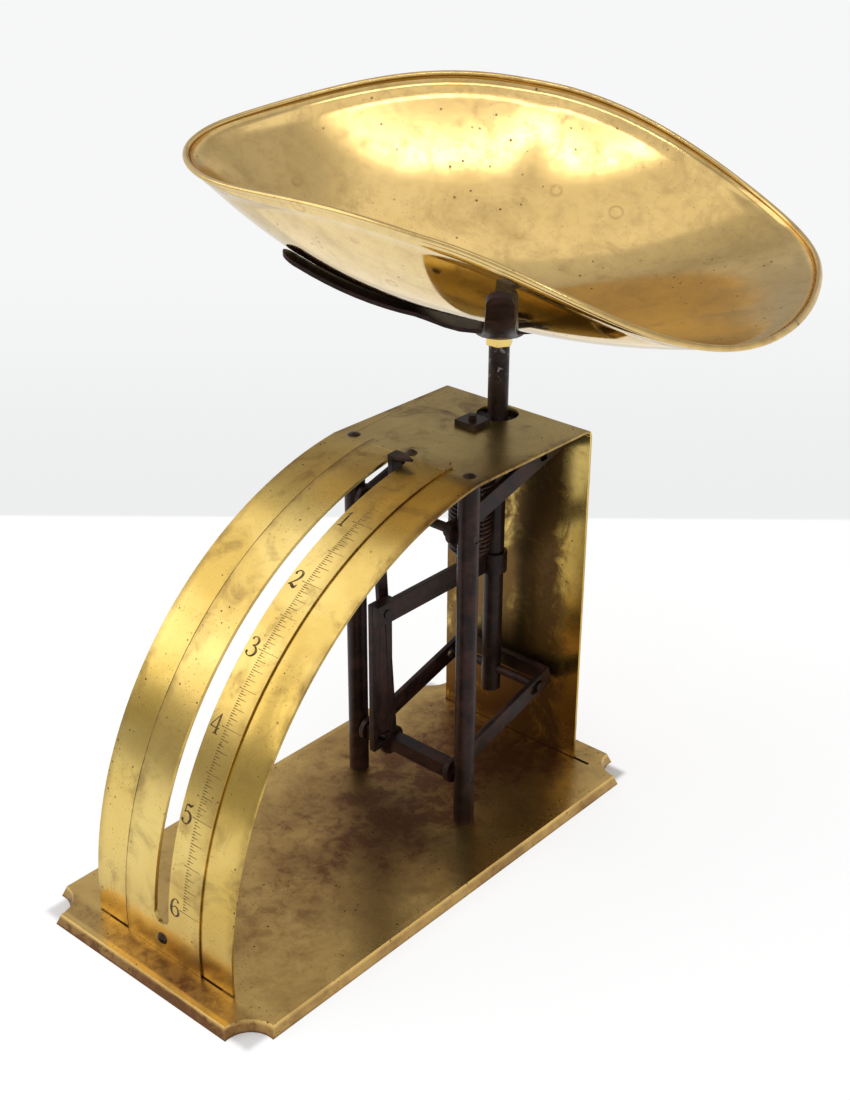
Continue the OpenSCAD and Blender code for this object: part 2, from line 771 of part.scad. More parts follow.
module cradle_strip(deg, reach, z) {
    z0 = z + arm_t;
    end = reach - arm_tip_w / 2;
    rs = [for (i = [-14:14])
        sign(i) * (arm_root - 1 + (reach + 1 - arm_root) * (abs(i) - 1) / 13)];
    top = [for (r = rs) [r, arm_height(deg, r, reach, z0)]];
    low = [for (r = rs) let (a = atan(arm_slope(deg, r, reach, z0)))
        [r + arm_t * sin(a), arm_height(deg, r, reach, z0) - arm_t * cos(a)]];
    flip = [for (i = [len(low) - 1:-1:0]) low[i]];
    color(iron) translate([mech_x, rod_y, 0]) rotate([0, 0, deg]) lift() difference() {
        intersection() {
            rotate([90, 0, 0]) translate([0, 0, -arm_w / 2])
                linear_extrude(arm_w) polygon(concat(top, flip));
            translate([0, 0, z - 1]) union() {
                linear_extrude(arm_short) polygon([
                    [-end, -arm_tip_w / 2], [0, -arm_w / 2], [end, -arm_tip_w / 2],
                    [end, arm_tip_w / 2], [0, arm_w / 2], [-end, arm_tip_w / 2]
                ]);
                for (sx = [-1, 1])
                    translate([sx * end, 0, 0]) cylinder(h = arm_short, d = arm_tip_w + end_bore, $fn = mid);
            }
        }
        translate([0, 0, z - arm_t]) cylinder(h = 4 * arm_t, d = stem_d + 2 * run_gap, $fn = mid);
    }
}

module cradle_long() {
    cradle_strip(arm_turn, arm_long, cradle_z);
}

module cradle_short() {
    cradle_strip(arm_turn + 90, arm_short, cradle_z + arm_t);
}

module cradle_rivet() {
    color(iron) translate([mech_x, rod_y, 0]) lift(cradle_z + 2 * arm_t) dome(9, 1);
}

// Pointer, drawn lying to the rear and then raised to its rest angle

module at_pointer() {
    lift(low_z) rotate([point_rest, 0, 0]) children();
}

module pointer_hub() {
    color(iron) ring_on_shaft(hub_x0, hub_x1, hub_d, low_z);
}

module pointer_arm() {
    x0 = arm_x0;
    x1 = arm_x0 + plate_t;
    u0 = slot_x - plate_t / 2;
    u1 = slot_x + plate_t / 2;
    lobe = crank_start - point_rest;
    color(iron) at_pointer() {
        translate([(x0 + x1) / 2, 0, 0]) across(plate_t) difference() {
            union() {
                circle(d = hub_d + 3.4, $fn = fine);
                translate([0, -point_w / 2]) square([joggle_r, point_w]);
                rotate(lobe) translate([0, -4]) square([crank_r, 8]);
                rotate(lobe) translate([crank_r, 0]) circle(d = 8.6, $fn = mid);
            }
            circle(d = hub_d + 2 * run_gap, $fn = fine);
            rotate(lobe) translate([crank_r, 0]) circle(d = crank_d + 2 * run_gap, $fn = mid);
        }
        translate([0, 0, -point_w / 2]) linear_extrude(point_w) polygon([
            [x0, joggle_r], [x1, joggle_r], [u1, joggle_r + 24], [u1, flag_r - flag_t],
            [u0, flag_r - flag_t], [u0, joggle_r + 25.2], [x0, joggle_r + 1.2]
        ]);
    }
}

module pointer_flag() {
    h = point_w / 2;
    x = slot_x - plate_t / 2;
    color(iron) at_pointer() translate([0, flag_r, 0]) rotate([90, 0, 0])
        linear_extrude(flag_t) polygon([
            [x, -h], [x + 5, -h], [flag_x, -0.3], [flag_x, 0.3], [x + 5, h], [x, h]
        ]);
}

module crank_pin() {
    color(iron) lift() {
        bar_along_x(arm_x0 - 0.6, up_x1 + 0.6, crank_d, crank_y, crank_z);
        bar_along_x(arm_x0 - 1.4, arm_x0 - 0.1, crank_d + 2.2, crank_y, crank_z);
    }
}

// Pan: one sheet from the middle of its inner face, round the rolled rim, to the outer face

function pan_pt(rho, f) = let (
    c = cos(f),
    s = sin(f)
) [
    rho * pan_len / 2 * sgn_pow(c, 2 / pan_exp),
    rho * pan_wide / 2 * sgn_pow(s, 2 / pan_exp) * (1 + pan_egg * c),
    pan_low + rim_height(c, s) * pow(rho, pan_pow)
];
function pan_along(rho, f) = unit(pan_pt(rho + 0.005, f) - pan_pt(rho - 0.005, f));
function pan_across(rho, f) = unit(pan_pt(rho, f + 0.5) - pan_pt(rho, f - 0.5));
function pan_up(rho, f) = unit(cross(pan_along(rho, f), pan_across(rho, f)));
function bead_pt(a, f) = let (
    t = pan_along(1, f),
    n = pan_up(1, f),
    c = pan_pt(1, f) - n * pan_t / 2 - t * bead_d * 0.1
) c + bead_d / 2 * (cos(a) * t + sin(a) * n);

module pan() {
    cols = [for (j = [0:pan_cols - 1]) 360 * j / pan_cols];
    rhos = [for (i = [1:pan_rows]) i / pan_rows];
    inner = [for (i = [0:pan_rows - 2]) [for (f = cols) pan_pt(rhos[i], f)]];
    bead = [for (a = [158, 110, 62, 14, -34, -82, -130, -165]) [for (f = cols) bead_pt(a, f)]];
    outer = [for (i = [pan_rows - 2:-1:0])
        [for (f = cols) pan_pt(rhos[i], f) - pan_t * pan_up(rhos[i], f)]];
    rings = concat(inner, bead, outer);
    k = len(rings);
    n = pan_cols;
    color(brass) translate([pan_cx, pan_cy, 0]) rotate([0, 0, pan_turn]) lift() polyhedron(
        points = [
            for (ring = rings) each ring,
            [0, 0, pan_low],
            [0, 0, pan_low - pan_t]
        ],
        faces = [
            for (i = [0:k - 2], j = [0:n - 1]) let (m = (j + 1) % n)
                [i * n + j, i * n + m, i * n + n + m, i * n + n + j],
            for (j = [0:n - 1]) [k * n, (j + 1) % n, j],
            for (j = [0:n - 1]) [k * n + 1, (k - 1) * n + j, (k - 1) * n + (j + 1) % n]
        ]
    );
}

// The pieces

base_tray();
case_sheet();
scale_plate();
scale_screw_top();
scale_screw_low();
scale_nut_top();
scale_nut_low();
pillar_left();
pillar_right();
top_rivet_left();
top_rivet_right();
foot_screw_left();
foot_screw_right();
lower_shaft();
upper_shaft();
lower_sleeve_left();
lower_sleeve_right();
upper_collar_left();
upper_collar_right();
spring_stud();
spring();
zero_nut();
lower_lever();
upper_lever();
pan_rod();
lower_cross_pin();
upper_cross_pin();
bracket_clamp();
bracket_bar();
bracket_pin();
bracket_upright();
bracket_rivet();
collar_nut();
cradle_hub();
cradle_long();
cradle_short();
cradle_rivet();
pointer_hub();
pointer_arm();
pointer_flag();
crank_pin();
pan();
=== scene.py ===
# %% [markdown]
# # A spring scale with a scoop pan
# The real object is a small shop scale. A brass scoop rests on a rod, the rod hangs on two iron
# levers and a coil spring, and a pointer shows the weight on a curved brass dial. The packed
# model brings every rigid piece at its true size, so this lesson gives each one its metal and
# adds what solids alone can't show: the rolled rim, the wound wire, the figures and the light.

# %% Load the frame
import math

import bpy
import numpy as np
from mathutils import Matrix, Quaternion, Vector


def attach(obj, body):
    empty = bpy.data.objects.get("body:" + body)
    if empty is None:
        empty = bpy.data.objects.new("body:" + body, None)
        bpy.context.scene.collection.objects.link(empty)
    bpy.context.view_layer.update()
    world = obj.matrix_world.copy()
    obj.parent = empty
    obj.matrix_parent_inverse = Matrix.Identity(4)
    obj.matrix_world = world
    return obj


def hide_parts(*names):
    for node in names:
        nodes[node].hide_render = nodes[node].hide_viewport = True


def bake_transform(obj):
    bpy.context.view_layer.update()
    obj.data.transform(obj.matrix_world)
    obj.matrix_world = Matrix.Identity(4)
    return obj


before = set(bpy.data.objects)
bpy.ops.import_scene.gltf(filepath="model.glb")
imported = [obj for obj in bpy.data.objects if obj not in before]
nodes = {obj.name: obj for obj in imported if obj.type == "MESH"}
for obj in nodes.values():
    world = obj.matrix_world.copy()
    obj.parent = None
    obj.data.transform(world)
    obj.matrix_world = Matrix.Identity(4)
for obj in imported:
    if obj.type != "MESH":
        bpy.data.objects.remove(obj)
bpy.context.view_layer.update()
print("nodes in the frame:", len(nodes))

# %% [markdown]
# ## Sizes that the pieces share
# The added pieces sit on the packed solids, so they repeat a few of the model's sizes. These
# could be measured on the meshes, but a named size is easier to read and to check. They are
# written in millimetres, as on a drawing, and one factor turns them into Blender's metres.

# %% Shared sizes
MM = 0.001
# the tray's upper face over the table
TRAY_TOP = 5.2
# the works stand a little left of the case's middle, and the pan rod behind the dial
MECH_X = -1.8
ROD_Y = 62.0
# the dial is a piece of a cylinder, with this axis and this radius
DIAL_Y = 16.43
DIAL_Z = TRAY_TOP + 7.0
DIAL_R = 170.23
# the lower shaft, which carries the pointer
SHAFT_Z = TRAY_TOP + 24.6
# how far the camera stands round to the right of the dial
AZIMUTH = math.radians(41.21)


def mm(*values):
    """A point given in millimetres, as a vector in metres."""
    return Vector(values) * MM


print("the lower shaft, in metres:", tuple(round(v, 4) for v in mm(MECH_X, 0, SHAFT_Z)))

# %% [markdown]
# ## A small language for materials
# A material is a graph of nodes. It could be drawn by hand or made by long rows of calls, but
# both are hard to read as a text. One small class wraps a socket and lets plain arithmetic build
# the Math nodes, so `1 - mask` means what it says.


# %% Sockets that can be added and multiplied
class Value:
    """A number, colour or vector on its way through a finish's nodes."""

    def __init__(self, finish, socket):
        self.finish = finish
        self.socket = socket

    def math(self, operation, *others):
        """The result of a Math node on this value and the others."""
        inputs = dict(enumerate([self, *others]))
        return self.finish.node("Math", {"operation": operation}, inputs)

    def __add__(self, other):
        return self.math("ADD", other)

    __radd__ = __add__

    def __sub__(self, other):
        return self.math("SUBTRACT", other)

    def __rsub__(self, other):
        return self.finish.node("Math", {"operation": "SUBTRACT"}, {0: other, 1: self})

    def __mul__(self, other):
        return self.math("MULTIPLY", other)

    __rmul__ = __mul__

    def __abs__(self):
        return self.math("ABSOLUTE")

    def limited(self):
        """The same value, kept from 0 to 1."""
        return self.finish.node("Clamp", {}, {"Value": self})

    def step(self, low, high):
        """0 below low, 1 above high and a smooth rise between them."""
        return self.finish.node(
            "MapRange",
            {"interpolation_type": "SMOOTHSTEP"},
            {"Value": self, "From Min": low, "From Max": high},
        )


print("reflected operators:", [name for name in vars(Value) if name.startswith("__r")])

# %% [markdown]
# ### A finish
# Any other node comes from one method that takes its type, its settings and its inputs. The
# other methods are short names for what every metal here needs: the piece's own coordinates,
# noise, spots, mixed colours and bumps. The room's light is a graph too, so the same class
# builds it.


# %% A graph that is built by calls
class Finish:
    """The nodes of a material, or of the world."""

    def __init__(self, owner, coordinates="Object"):
        owner.use_nodes = True
        self.owner = owner
        self.tree = owner.node_tree
        self.tree.nodes.clear()
        self.place = self.node("TexCoord", {}, {}, coordinates)

    def node(self, kind, settings, inputs, out=0):
        """A node of this type, with its settings first, then the values or links it takes."""
        made = self.tree.nodes.new("ShaderNode" + kind)
        for key, value in settings.items():
            if key == "stops":
                self.set_stops(made.color_ramp, value)
            else:
                setattr(made, key, value)
        for key, value in inputs.items():
            if isinstance(value, Value):
                self.tree.links.new(value.socket, made.inputs[key])
            else:
                made.inputs[key].default_value = value
        return Value(self, made.outputs[out]) if made.outputs else None

    @staticmethod
    def set_stops(ramp, stops):
        while len(ramp.elements) < len(stops):
            ramp.elements.new(0.5)
        for element, (at, colour) in zip(ramp.elements, stops):
            element.position = at
            element.color = (*colour, 1)

    @staticmethod
    def colour(value):
        return value if isinstance(value, Value) else (*value, 1)

    def axis(self, name):
        """One coordinate of the place that is shaded, in metres."""
        return self.node("SeparateXYZ", {}, {"Vector": self.place}, name)

    def noise(self, scale, detail, rough, warp=0.0):
        return self.node(
            "TexNoise",
            {},
            {
                "Vector": self.place,
                "Scale": scale,
                "Detail": detail,
                "Roughness": rough,
                "Distortion": warp,
            },
        )

    def cells(self, scale):
        """How far a place is from the nearest of many scattered points."""
        return self.node("TexVoronoi", {}, {"Vector": self.place, "Scale": scale}, "Distance")

    def spots(self, scale, size):
        """1 in the middle of scattered round spots, 0 between them."""
        return 1 - self.cells(scale).step(size * 0.35, size)

    def mix(self, share, first, second):
        """A colour between two, which are colours or links."""
        ends = {6: self.colour(first), 7: self.colour(second)}
        return self.node("Mix", {"data_type": "RGBA"}, {0: share, **ends}, 2)

    def bump(self, height, depth_mm, under=None):
        """A bent normal, over another one if that is given."""
        inputs = {"Height": height, "Distance": depth_mm * MM, "Strength": 1.0}
        if under:
            inputs["Normal"] = under
        return self.node("Bump", {}, inputs)

    def done(self, **inputs):
        """Ends the graph in a Principled BSDF and gives the material."""
        named = {key.replace("_", " "): value for key, value in inputs.items()}
        shader = self.node("BsdfPrincipled", {}, named)
        self.node("OutputMaterial", {}, {"Surface": shader})
        return self.owner


def new_finish(name):
    """A material of this name, with an empty graph."""
    return Finish(bpy.data.materials.new(name))


print("the language for materials is ready")

# %% [markdown]
# ## Old brass
# Worn brass isn't one colour. It is pale where hands rub it, brown where it isn't touched, and
# pitted with small dark specks, and old sheet is never quite flat, so its reflections wander. A
# single metal colour would look new. Noises at several scales do better, and they follow any
# shape without being laid out on it: a slow one for tone, a middle one for stains, a fine one
# for dust, cells for the pits, and a slow wave for the sheet. A noise's scale counts its waves
# in a metre, so 14 gives patches of seventy millimetres and 380 gives grains of three. One
# recipe dresses every brass piece, with its own colours and its own share of stain.

# %% The brass recipe
# how deep the pits and the grain are cut, in millimetres
PIT_MM = 0.015


def old_brass(
    name, pale, deep, brown, stain, pits, rough, wave_mm, shade=None, edge=(0.50, 0.72)
):
    """Brass from pale to deep, browned by its stains and by the mask that shade gives, which holds
    stains and painted light.
    """
    f = new_finish(name)
    tone = f.noise(14, 3, 0.55, 0.6)
    cloud = f.noise(46, 5, 0.62, 0.8)
    fine = f.noise(380, 4, 0.65)
    colour = f.mix(tone.step(0.34, 0.66), pale, deep)
    dust = fine.step(0.52, 0.80) * (stain * 0.2)
    stain_and_painted_light = (cloud.step(*edge) * stain + dust).limited()
    if shade:
        # the mask from shade holds stains and also painted light: painted shade and painted
        # highlight
        stain_and_painted_light = (stain_and_painted_light + shade(f)).limited()
    colour = f.mix(stain_and_painted_light, colour, brown)
    where = f.noise(34, 2, 0.5).step(0.42, 0.58)
    pit = f.spots(230, 0.15) * where + f.spots(560, 0.20) * where * 0.7
    pit = (pit * pits).limited()
    colour = f.mix(pit, colour, tuple(c * 0.25 for c in brown))
    gloss = rough + stain_and_painted_light * 0.22 + (fine - 0.5) * 0.10 + (cloud - 0.5) * 0.12 + pit * 0.2
    wavy = f.bump(f.noise(19, 2, 0.4, 0.3), wave_mm)
    skin = f.bump(fine * 0.2 - pit * 1.5, PIT_MM, wavy)
    return f.done(Base_Color=colour, Metallic=1.0, Roughness=gloss.limited(), Normal=skin)


PALE = (0.76, 0.56, 0.175)
DEEP = (0.59, 0.40, 0.095)
BROWN = (0.17, 0.095, 0.032)
nut_brass = old_brass(
    "nut brass", pale=(0.86, 0.66, 0.24), deep=(0.74, 0.53, 0.15), brown=BROWN,
    stain=0.15, pits=0.1, rough=0.14, wave_mm=0.02,
)
print("the plainest brass:", nut_brass.name, len(nut_brass.node_tree.nodes), "nodes")

# %% [markdown]
# ### The tray's stains, painted highlight and painted shade
# Between the pillars and the back plate the tray is nearly black, partly from oil and smoke and
# partly from painted shade under the dark works that the brass mirrors. A painted highlight runs
# along the fold at its sides, painted shade darkens the rim under it and most of all its foot, the
# strip before the dial is dull, and grime fills the joint where the dial stands in the tray.
# Stains could be painted on an image, but each belongs to a place, so each is a soft box in the
# tray's own coordinates, with a noisy edge. It only raises the share of brown, and the brass still
# shines through.

# %% The tray's mask
# each pair says where a change begins and where it is full, in metres: from the middle to a side
WORKS_SIDE, DIAL_SIDE, FOLD_SIDE = (0.016, 0.066), (0.0416, 0.0420), (0.0618, 0.0632)
# from the front to the back
FOLD_FRONT, STRIP, BEFORE_WORKS = (-0.1656, -0.1642), (-0.158, -0.1535), (-0.170, -0.110)
WORKS_FRONT, WORKS_BACK = (-0.090, 0.000), (0.060, 0.092)
# and up the rim
RIM_FOOT, RIM_TOP, FOLD_LOW = (0.0002, 0.0012), (0.0030, 0.0046), (0.0040, 0.0048)
# the joint of the dial and the tray, and how wide the dirt lies in it
DIAL_JOINT_Y, JOINT_WIDE = -0.1539, (0.0001, 0.0007)


def tray_stains_and_painted_light(f):
    """Dark under the levers and in the middle, partly stain and partly painted shade; a painted
    highlight along the fold, painted shade on the rim, and grime at the dial's foot.
    """
    ragged = f.noise(26, 6, 0.66, 0.6)
    fine = f.noise(130, 5, 0.7, 0.5)
    side, y, z = abs(f.axis("X")), f.axis("Y"), f.axis("Z")
    inside = 1 - (side + (ragged - 0.5) * 0.06).step(*WORKS_SIDE)
    rough_y = y + (ragged - 0.5) * 0.08
    along = rough_y.step(*WORKS_FRONT) * (1 - rough_y.step(*WORKS_BACK))
    front = inside * rough_y.step(*BEFORE_WORKS) * (0.24 + fine.step(0.38, 0.68) * 0.18)
    joint = 1 - abs(y - DIAL_JOINT_Y).step(*JOINT_WIDE)
    joint = joint * (1 - side.step(*DIAL_SIDE)) * 0.45
    # painted highlight: the brown is taken off along the fold so that it shines as if it caught
    # the light
    fold = (side.step(*FOLD_SIDE) + (1 - y.step(*FOLD_FRONT))).limited() * z.step(*FOLD_LOW)
    # painted shade: the turned-down rim is darker, and darker still at its foot by the table
    rim = (1 - z.step(*RIM_TOP)) * 0.38 + (1 - z.step(*RIM_FOOT)) * 0.2
    strip = (1 - y.step(*STRIP)) * (0.34 + fine.step(0.42, 0.70) * 0.2)
    broad = f.noise(13, 3, 0.6, 0.4).step(0.46, 0.62) * 0.20
    dust = fine.step(0.42, 0.70) * 0.13
    # partly real stain and partly painted shade: the tray is darkened under the dark works that it
    # mirrors
    dirt_and_painted_shade = inside * along * 0.50 + front + dust + broad + strip + 0.03
    return dirt_and_painted_shade * (1 - fold) + joint + rim


tray_brass = old_brass(
    "tray brass", pale=(0.75, 0.505, 0.17), deep=(0.58, 0.37, 0.12),
    brown=(0.165, 0.074, 0.030), stain=0.35, pits=1.0, rough=0.25, wave_mm=0.25,
    shade=tray_stains_and_painted_light, edge=(0.42, 0.82),
)
print("the tray's brass:", len(tray_brass.node_tree.nodes), "nodes")

# %% [markdown]
# ### The stains and painted shade of the case and the dial plate
# The case is one bent sheet. Its back plate is smoked on the inside, its top is darkened, partly
# as dull brass and partly as painted shade, its foot and its side edges are brown, and a dark line
# runs along the dial plate that is laid on it, part grime and part painted shadow. The same kind
# of mask marks each place, so every stain and every painted shade stays where the sheet carries
# it, whatever the camera sees.

# %% The masks of the case and the dial plate
# from the middle to the right, or to both sides
WORN_SIDE, SMOKE_SIDE, CASE_SIDE = (0.024, 0.030), (0.026, 0.034), (0.0370, 0.0416)
# from the front to the back
WORN_BACK, DIAL_BACK = (0, 0.01), (0.03, 0.04)
BACK_NEAR, BACK_INSIDE = (0.060, 0.073), (0.0750, 0.0758)
# and upwards
FOOT_LINE, DIAL_FOOT, FOOT_HIGH = (0.0056, 0.0063), (0.0115, 0.0125), (0.012, 0.050)
WORN_LOW, WORN_HIGH = (0.085, 0.110), (0.125, 0.150)
BAND_LOW, BAND_HIGH = (0.120, 0.165), (0.165, 0.180)
BEND_HIGH, DIAL_HEAD, UNDER_TOP = (0.1640, 0.1790), (0.1780, 0.1800), (0.1795, 0.1802)
# the dial plate: its middle, the dark line beside it, part grime and part painted shadow, and its
# left edge
PLATE_X, PLATE_LINE, PLATE_LEFT = 0.0005, 0.0232, -0.0221
LINE_HALF, LEFT_WIDE = 0.0003, (0.0001, 0.0004)
# its brown foot, the two browner parts of its head, and its sides
PLATE_FOOT, PLATE_HIGH, PLATE_HEAD = (0.012, 0.040), (0.130, 0.172), (0.174, 0.181)
PLATE_SIDE = (0.0180, 0.0229)


# a dark line, part grime and part painted shadow, where the laid-on plate's edges meet the case
def plate_line(f):
    """1 along both long edges of the laid-on plate, over the dial only."""
    away = abs(abs(f.axis("X") - PLATE_X) - PLATE_LINE)
    y, z = f.axis("Y"), f.axis("Z")
    dial = z.step(*DIAL_FOOT) * (1 - z.step(*DIAL_HEAD)) * (1 - y.step(*DIAL_BACK))
    return (1 - away.step(LINE_HALF * 0.3, LINE_HALF)) * dial


def case_stains_and_painted_shade(f):
    """Smoke on the back plate, a top that is partly dull and partly painted shade, a brown foot,
    and a line along the laid-on plate that is part grime and part painted shadow.
    """
    ragged = f.noise(30, 5, 0.65, 1.2)
    x, y, z = f.axis("X"), f.axis("Y"), f.axis("Z")
    inner = (1 - y.step(*BACK_INSIDE)) * y.step(*BACK_NEAR) * (1 - z.step(*UNDER_TOP))
    bright = (x + (ragged - 0.5) * 0.040).step(*SMOKE_SIDE)
    smoke = inner * ragged.step(0.28, 0.50) * (1 - bright) * 0.95
    # partly dull brass and partly painted shade: the flat top is darkened, as the room it mirrors
    # is darker
    top = z.step(*BEND_HIGH) * (1 - inner) * (0.42 + ragged.step(0.35, 0.75) * 0.16)
    high = z.step(*BAND_LOW) * (1 - z.step(*BAND_HIGH)) * (1 - inner) * 0.22
    foot = (1 - z.step(*FOOT_HIGH)) * 0.20 + (1 - z.step(*FOOT_LINE)) * 0.6
    side = abs(x).step(*CASE_SIDE) * ragged.step(0.3, 0.7) * 0.45
    worn = z.step(*WORN_LOW) * (1 - z.step(*WORN_HIGH)) * ragged.step(0.3, 0.6)
    side = side + worn * x.step(*WORN_SIDE) * (1 - y.step(*WORN_BACK)) * 0.32
    return smoke + top + high + foot + side * (1 - inner) + plate_line(f) * 0.5


def plate_stains_and_painted_shadow(f):
    """Brown near the foot, under the top and along the edges, with a dark line at the left edge
    that is part grime and part painted shadow.
    """
    ragged = f.noise(34, 5, 0.65, 1.0)
    x, z = f.axis("X"), f.axis("Z")
    high = z.step(*PLATE_HIGH) * 0.26 + z.step(*PLATE_HEAD) * 0.24
    foot = (1 - z.step(*PLATE_FOOT)) * 0.15
    # part grime and part painted shadow along the plate's left edge
    left = 1 - abs(x - PLATE_LEFT).step(*LEFT_WIDE)
    side = abs(x - PLATE_X).step(*PLATE_SIDE) * ragged.step(0.3, 0.7)
    return high + foot + left * 0.6 + side * 0.40 + ragged.step(0.5, 0.7) * 0.16


case_brass = old_brass(
    "case brass", pale=PALE, deep=DEEP, brown=BROWN,
    stain=0.42, pits=0.9, rough=0.20, wave_mm=0.35, shade=case_stains_and_painted_shade,
)
scale_brass = old_brass(
    "dial brass", pale=(0.78, 0.59, 0.20), deep=(0.62, 0.43, 0.12), brown=BROWN,
    stain=0.40, pits=0.9, rough=0.22, wave_mm=0.22, shade=plate_stains_and_painted_shadow,
)
print("brass with a mask:", tray_brass.name, case_brass.name, scale_brass.name)

# %% [markdown]
# ### The pan's polish
# The pan is raised from thinner sheet. Goods have rubbed its inside to a soft sheen, with a fine
# mottle and a few brown rings where they stood wet, while its outside has kept a bright polish
# that mirrors the table and the works. Each side could have its own recipe, but they are one
# sheet, so they share one, with two sets of colours and gloss.

# %% The pan's finish
STAIN_BROWN, SPECK_BLACK = (0.36, 0.225, 0.085), (0.08, 0.04, 0.015)
SPECK_MM = 0.012


def pan_finish(name, pale, deep, rough, stain_share, wave_mm):
    """Polished brass with mottled stains, rings and specks."""
    f = new_finish(name)
    tone = f.noise(11, 4, 0.6, 0.5)
    cloud = f.noise(42, 5, 0.62, 0.8)
    fine = f.noise(500, 3, 0.6)
    colour = f.mix(tone.step(0.3, 0.7), pale, deep)
    ring_far = f.cells(46.0)
    rings = ring_far.step(0.10, 0.15) * (1 - ring_far.step(0.15, 0.20))
    rings = rings * f.noise(22, 2, 0.5).step(0.53, 0.62)
    mottle = f.noise(150, 4, 0.7, 0.3).step(0.42, 0.70) * stain_share * 0.5
    stain = (cloud.step(0.42, 0.80) * stain_share + mottle + rings * 0.5).limited()
    specks = f.spots(150, 0.13) * f.noise(30, 2, 0.5).step(0.42, 0.54)
    specks = (specks + f.spots(420, 0.15) * 0.5).limited()
    colour = f.mix(stain, colour, STAIN_BROWN)
    colour = f.mix(specks * 0.85, colour, SPECK_BLACK)
    gloss = rough + stain * 0.14 + (fine - 0.5) * 0.06 + (cloud - 0.5) * 0.10 + specks * 0.2
    wavy = f.bump(f.noise(20, 2, 0.4, 0.2), wave_mm)
    skin = f.bump(fine * 0.5 - specks, SPECK_MM, wavy)
    return f.done(Base_Color=colour, Metallic=1.0, Roughness=gloss.limited(), Normal=skin)


pan_inside = pan_finish(
    "pan inside", pale=(0.75, 0.53, 0.215), deep=(0.66, 0.46, 0.17),
    rough=0.165, stain_share=0.48, wave_mm=0.25,
)
pan_outside = pan_finish(
    "pan outside", pale=(0.84, 0.65, 0.32), deep=(0.72, 0.53, 0.22),
    rough=0.07, stain_share=0.34, wave_mm=0.12,
)
print("the pan's two sides:", pan_inside.name, "and", pan_outside.name)

# %% [markdown]
# ## Browned iron
# The works are wrought iron with a thin brown skin. It is nearly black, a little red where the
# light falls on it, and it shines softly because it is oiled. One dark colour would look like
# paint, so a mottled noise moves between two browns, and a finer one breaks the gloss. The pan
# rod is rubbed by the hand that lifts the scale, so bare specks of iron show on its upper part,
# and the pan has rubbed the cradle's hub until it is grey.

# %% The iron recipe
# the height from which the rod is rubbed, in metres, and the colour of bare iron
RUBBED_FROM, RUBBED_FADE = 0.19, 0.008
BARE_IRON = (0.42, 0.39, 0.36)
GRAIN_MM = 0.05


def old_iron(name, dark, red, rough, bare=0.0, metal=0.10):
    """Iron from dark to red, with bare specks on its upper part if bare is more than 0."""
    f = new_finish(name)
    mottle = f.noise(75, 5, 0.65, 0.8)
    fine = f.noise(700, 4, 0.7)
    colour = f.mix(mottle.step(0.38, 0.66), dark, red)
    gloss = rough + (mottle - 0.5) * 0.25 + (fine - 0.5) * 0.2
    if bare:
        worn = f.noise(240, 5, 0.75, 0.6).step(0.54, 0.62) * f.noise(60, 2, 0.5).step(0.42, 0.6)
        worn = worn * f.axis("Z").step(RUBBED_FROM, RUBBED_FROM + RUBBED_FADE) * bare
        colour = f.mix(worn, colour, BARE_IRON)
        metal = metal + worn * 0.8
        gloss = gloss - worn * 0.08
    skin = f.bump(fine * 0.6 + mottle * 0.4, GRAIN_MM)
    return f.done(
        Base_Color=colour, Metallic=metal, Roughness=gloss.limited(), Specular_IOR_Level=0.20,
        Normal=skin,
    )


IRON_DARK = (0.012, 0.006, 0.005)
works_iron = old_iron("works iron", IRON_DARK, red=(0.046, 0.019, 0.014), rough=0.38)
rod_iron = old_iron("rod iron", IRON_DARK, red=(0.032, 0.017, 0.013), rough=0.34, bare=0.9)
screw_iron = old_iron(
    "screw iron", dark=(0.012, 0.007, 0.005), red=(0.055, 0.027, 0.014), rough=0.36
)
hub_iron = old_iron(
    "hub iron", dark=(0.06, 0.045, 0.036), red=(0.16, 0.12, 0.09), rough=0.26, metal=0.8
)
print("iron finishes:", works_iron.name, rod_iron.name, hub_iron.name, screw_iron.name)

# %% [markdown]
# ## Dress the packed pieces
# A sharp edge never catches the light, and a real edge is always a little broken. Bevels could
# be cut in the solids, but these are too fine for that. Each solid is welded where its faces
# meet and gets a small bevel, chosen by its size: wide on the tray, very fine on screws.
# Modifiers leave the packed mesh itself unchanged.

# %% Finishes and edges for the packed pieces
# a node's finish, and the width of its broken edges in millimetres
BRASS_NODES = {
    "base_tray": (tray_brass, 0.45),
    "case_sheet": (case_brass, 0.22),
    "scale_plate": (scale_brass, 0.18),
    "collar_nut": (nut_brass, 0.35),
}
ROD_NODES = {"pan_rod": rod_iron, "cradle_hub": hub_iron}
SCREW_NODES = {
    "scale_screw_top", "scale_screw_low", "scale_nut_top", "scale_nut_low", "top_rivet_left",
    "top_rivet_right", "foot_screw_left", "foot_screw_right", "zero_nut", "spring_stud",
}
IRON_EDGE, SCREW_EDGE = 0.3, 0.15
# these two are made again further on
REPLACED = {"spring", "pan"}
# points nearer than this are one, edges sharper than this are broken, and large faces stay flat
WELD_MM, SHARP_DEG, FLAT_WEIGHT = 0.002, 35, 60


def break_edges(piece, width_mm):
    """Welds the faces together and rounds the sharp edges a little."""
    weld = piece.modifiers.new("weld", "WELD")
    weld.merge_threshold = WELD_MM * MM
    bevel = piece.modifiers.new("edges", "BEVEL")
    bevel.width = width_mm * MM
    bevel.segments = 2
    bevel.limit_method = "ANGLE"
    bevel.angle_limit = math.radians(SHARP_DEG)
    even = piece.modifiers.new("even", "WEIGHTED_NORMAL")
    even.weight = FLAT_WEIGHT


